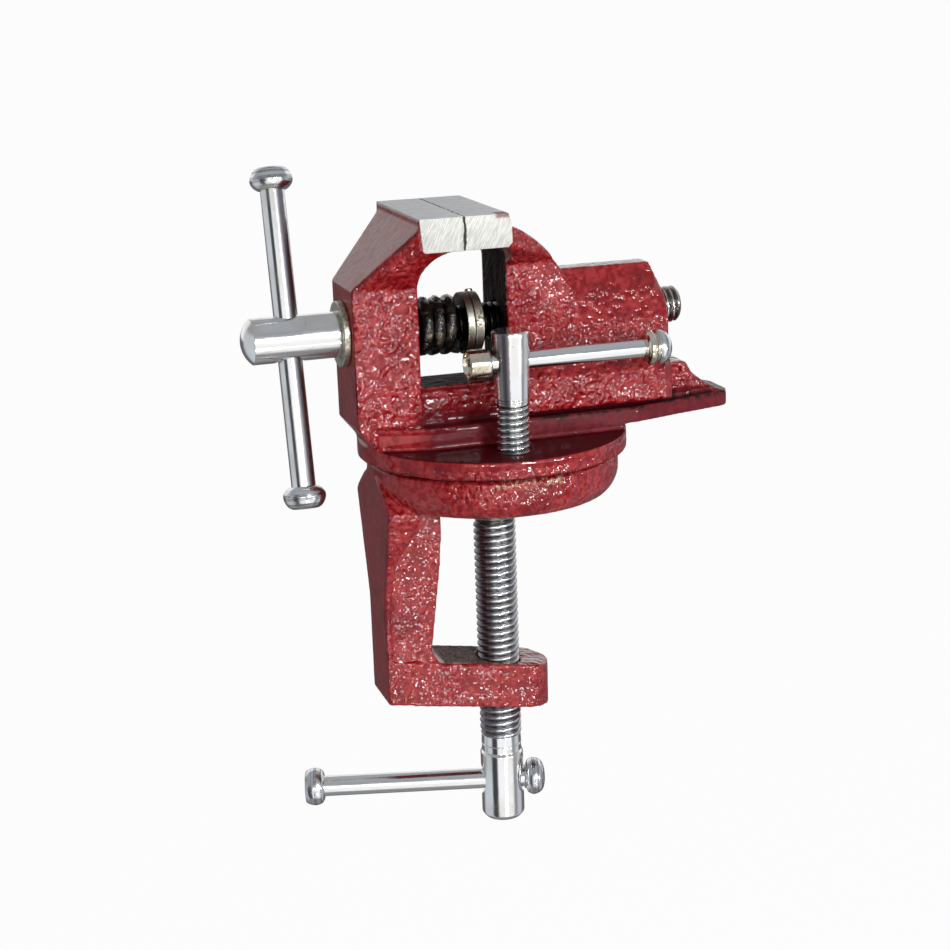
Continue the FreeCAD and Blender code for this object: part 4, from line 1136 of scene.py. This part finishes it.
def makeWorld():
    # a white backdrop, which metal shows too; to the vise, white screens with dark gaps and a dim ceiling
    world = bpy.data.worlds.new("studio")
    bpy.context.scene.world = world
    world.use_nodes = True
    tree = world.node_tree
    shader = tree.nodes["Background"]
    look = tree.nodes.new("ShaderNodeTexCoord").outputs["Generated"]
    ahead = vectors(tree, "DOT_PRODUCT", look, stage["front"])
    beside = vectors(tree, "DOT_PRODUCT", look, stage["side"])
    around = plus(tree, maths(tree, "DIVIDE", maths(tree, "ARCTAN2", beside, ahead), tau), 0.5)
    screens = addNode(tree, "ShaderNodeValToRGB", {0: around})
    stops = screens.color_ramp.elements
    for place, colour in stage["screens"][1:-1]:
        stops.new(place).color = (*colour, 1)
    stops[0].color = (*stage["screens"][0][1], 1)
    stops[-1].color = (*stage["screens"][-1][1], 1)
    level = xyzOf(tree, look)[2]
    colour = screens.outputs[0]
    for part in ("cove", "ceiling", "pit"):
        tone, start, end = stage[part]
        colour = blend(tree, ramp(tree, level, start, end), colour, tone)
    behind = ramp(tree, ahead, *stage["behind"])
    tone, start, end = stage["table"]
    colour = blend(tree, times(tree, behind, ramp(tree, level, start, end)), colour, tone)
    share = times(tree, ramp(tree, ahead, *stage["plainAhead"]), ramp(tree, level, *stage["plainLevel"]))
    share = times(tree, share, stage["plain"])
    plain = addNode(tree, "ShaderNodeCombineColor", {0: share, 1: share, 2: share}).outputs[0]
    ray = tree.nodes.new("ShaderNodeLightPath").outputs
    mirrored = maths(tree, "MAXIMUM", ray["Is Glossy Ray"], ray["Is Transmission Ray"])
    colour = blend(tree, mirrored, plain, colour)
    top, foot = stage["backdrop"]
    backdrop = times(tree, ramp(tree, level, *top), ramp(tree, level, *foot))
    backdrop = times(tree, behind, backdrop)
    seen = maths(tree, "MAXIMUM", ray["Is Camera Ray"], times(tree, mirrored, backdrop))
    setInput(tree, shader.inputs["Color"], blend(tree, seen, colour, (1.0, 1.0, 1.0)))


def makeFloor():
    material, tree, shader = newMaterial("paleFloor")
    speckle = noiseAt(tree, objectPlace(tree), 4.0, 2.0)
    setInputs(tree, shader, {
        "Base Color": blend(tree, speckle, (0.88, 0.88, 0.88), (0.92, 0.92, 0.92)), "Roughness": 0.9})
    glow = addNode(tree, "ShaderNodeEmission", {"Strength": 1.0})
    seen = tree.nodes.new("ShaderNodeLightPath").outputs["Is Camera Ray"]
    mix = tree.nodes.new("ShaderNodeMixShader")
    setInput(tree, mix.inputs[0], times(tree, seen, 0.97))
    tree.links.new(shader.outputs[0], mix.inputs[1])
    tree.links.new(glow.outputs[0], mix.inputs[2])
    tree.links.new(mix.outputs[0], tree.nodes["Material Output"].inputs[0])
    mesh = bpy.data.meshes.new("floor")
    reach = stage["floorReach"]
    corners = [(-reach, -reach), (reach, -reach), (reach, reach), (-reach, reach)]
    mesh.from_pydata([(x, y, stage["floor"]) for x, y in corners], [], [(0, 1, 2, 3)])
    mesh.materials.append(material)
    floor = newPiece("floor", mesh)
    floor.visible_glossy = False


lamps = {
    # azimuth from the camera, to the right, elevation, distance and width in metres, and brightness
    "key": (30, 14, 1.2, 0.24, 45.0),
    "spark": (56, -4, 1.3, 0.17, 50.0),
    "low": (20, -30, 1.3, 0.17, 50.0),
    "left": (-4, 2, 1.3, 0.13, 50.0),
}


def makeLamps():
    front = Vector(stage["front"])
    side = Vector(stage["side"])
    for name, (azimuth, elevation, distance, width, bright) in lamps.items():
        turn, rise = math.radians(azimuth), math.radians(elevation)
        way = (front * math.cos(turn) + side * math.sin(turn)) * math.cos(rise) + upward * math.sin(rise)
        data = bpy.data.lights.new(name, "AREA")
        data.shape = "DISK"
        data.size = width
        data.energy = bright * math.pi * math.pi * width ** 2 / 4
        item = newPiece(name, data)
        item.matrix_world = axisFrame(way * distance, way, upward)


makeCamera()
makeWorld()
makeFloor()
makeLamps()
bpy.context.scene.view_settings.view_transform = "Standard"
print("stage ready")
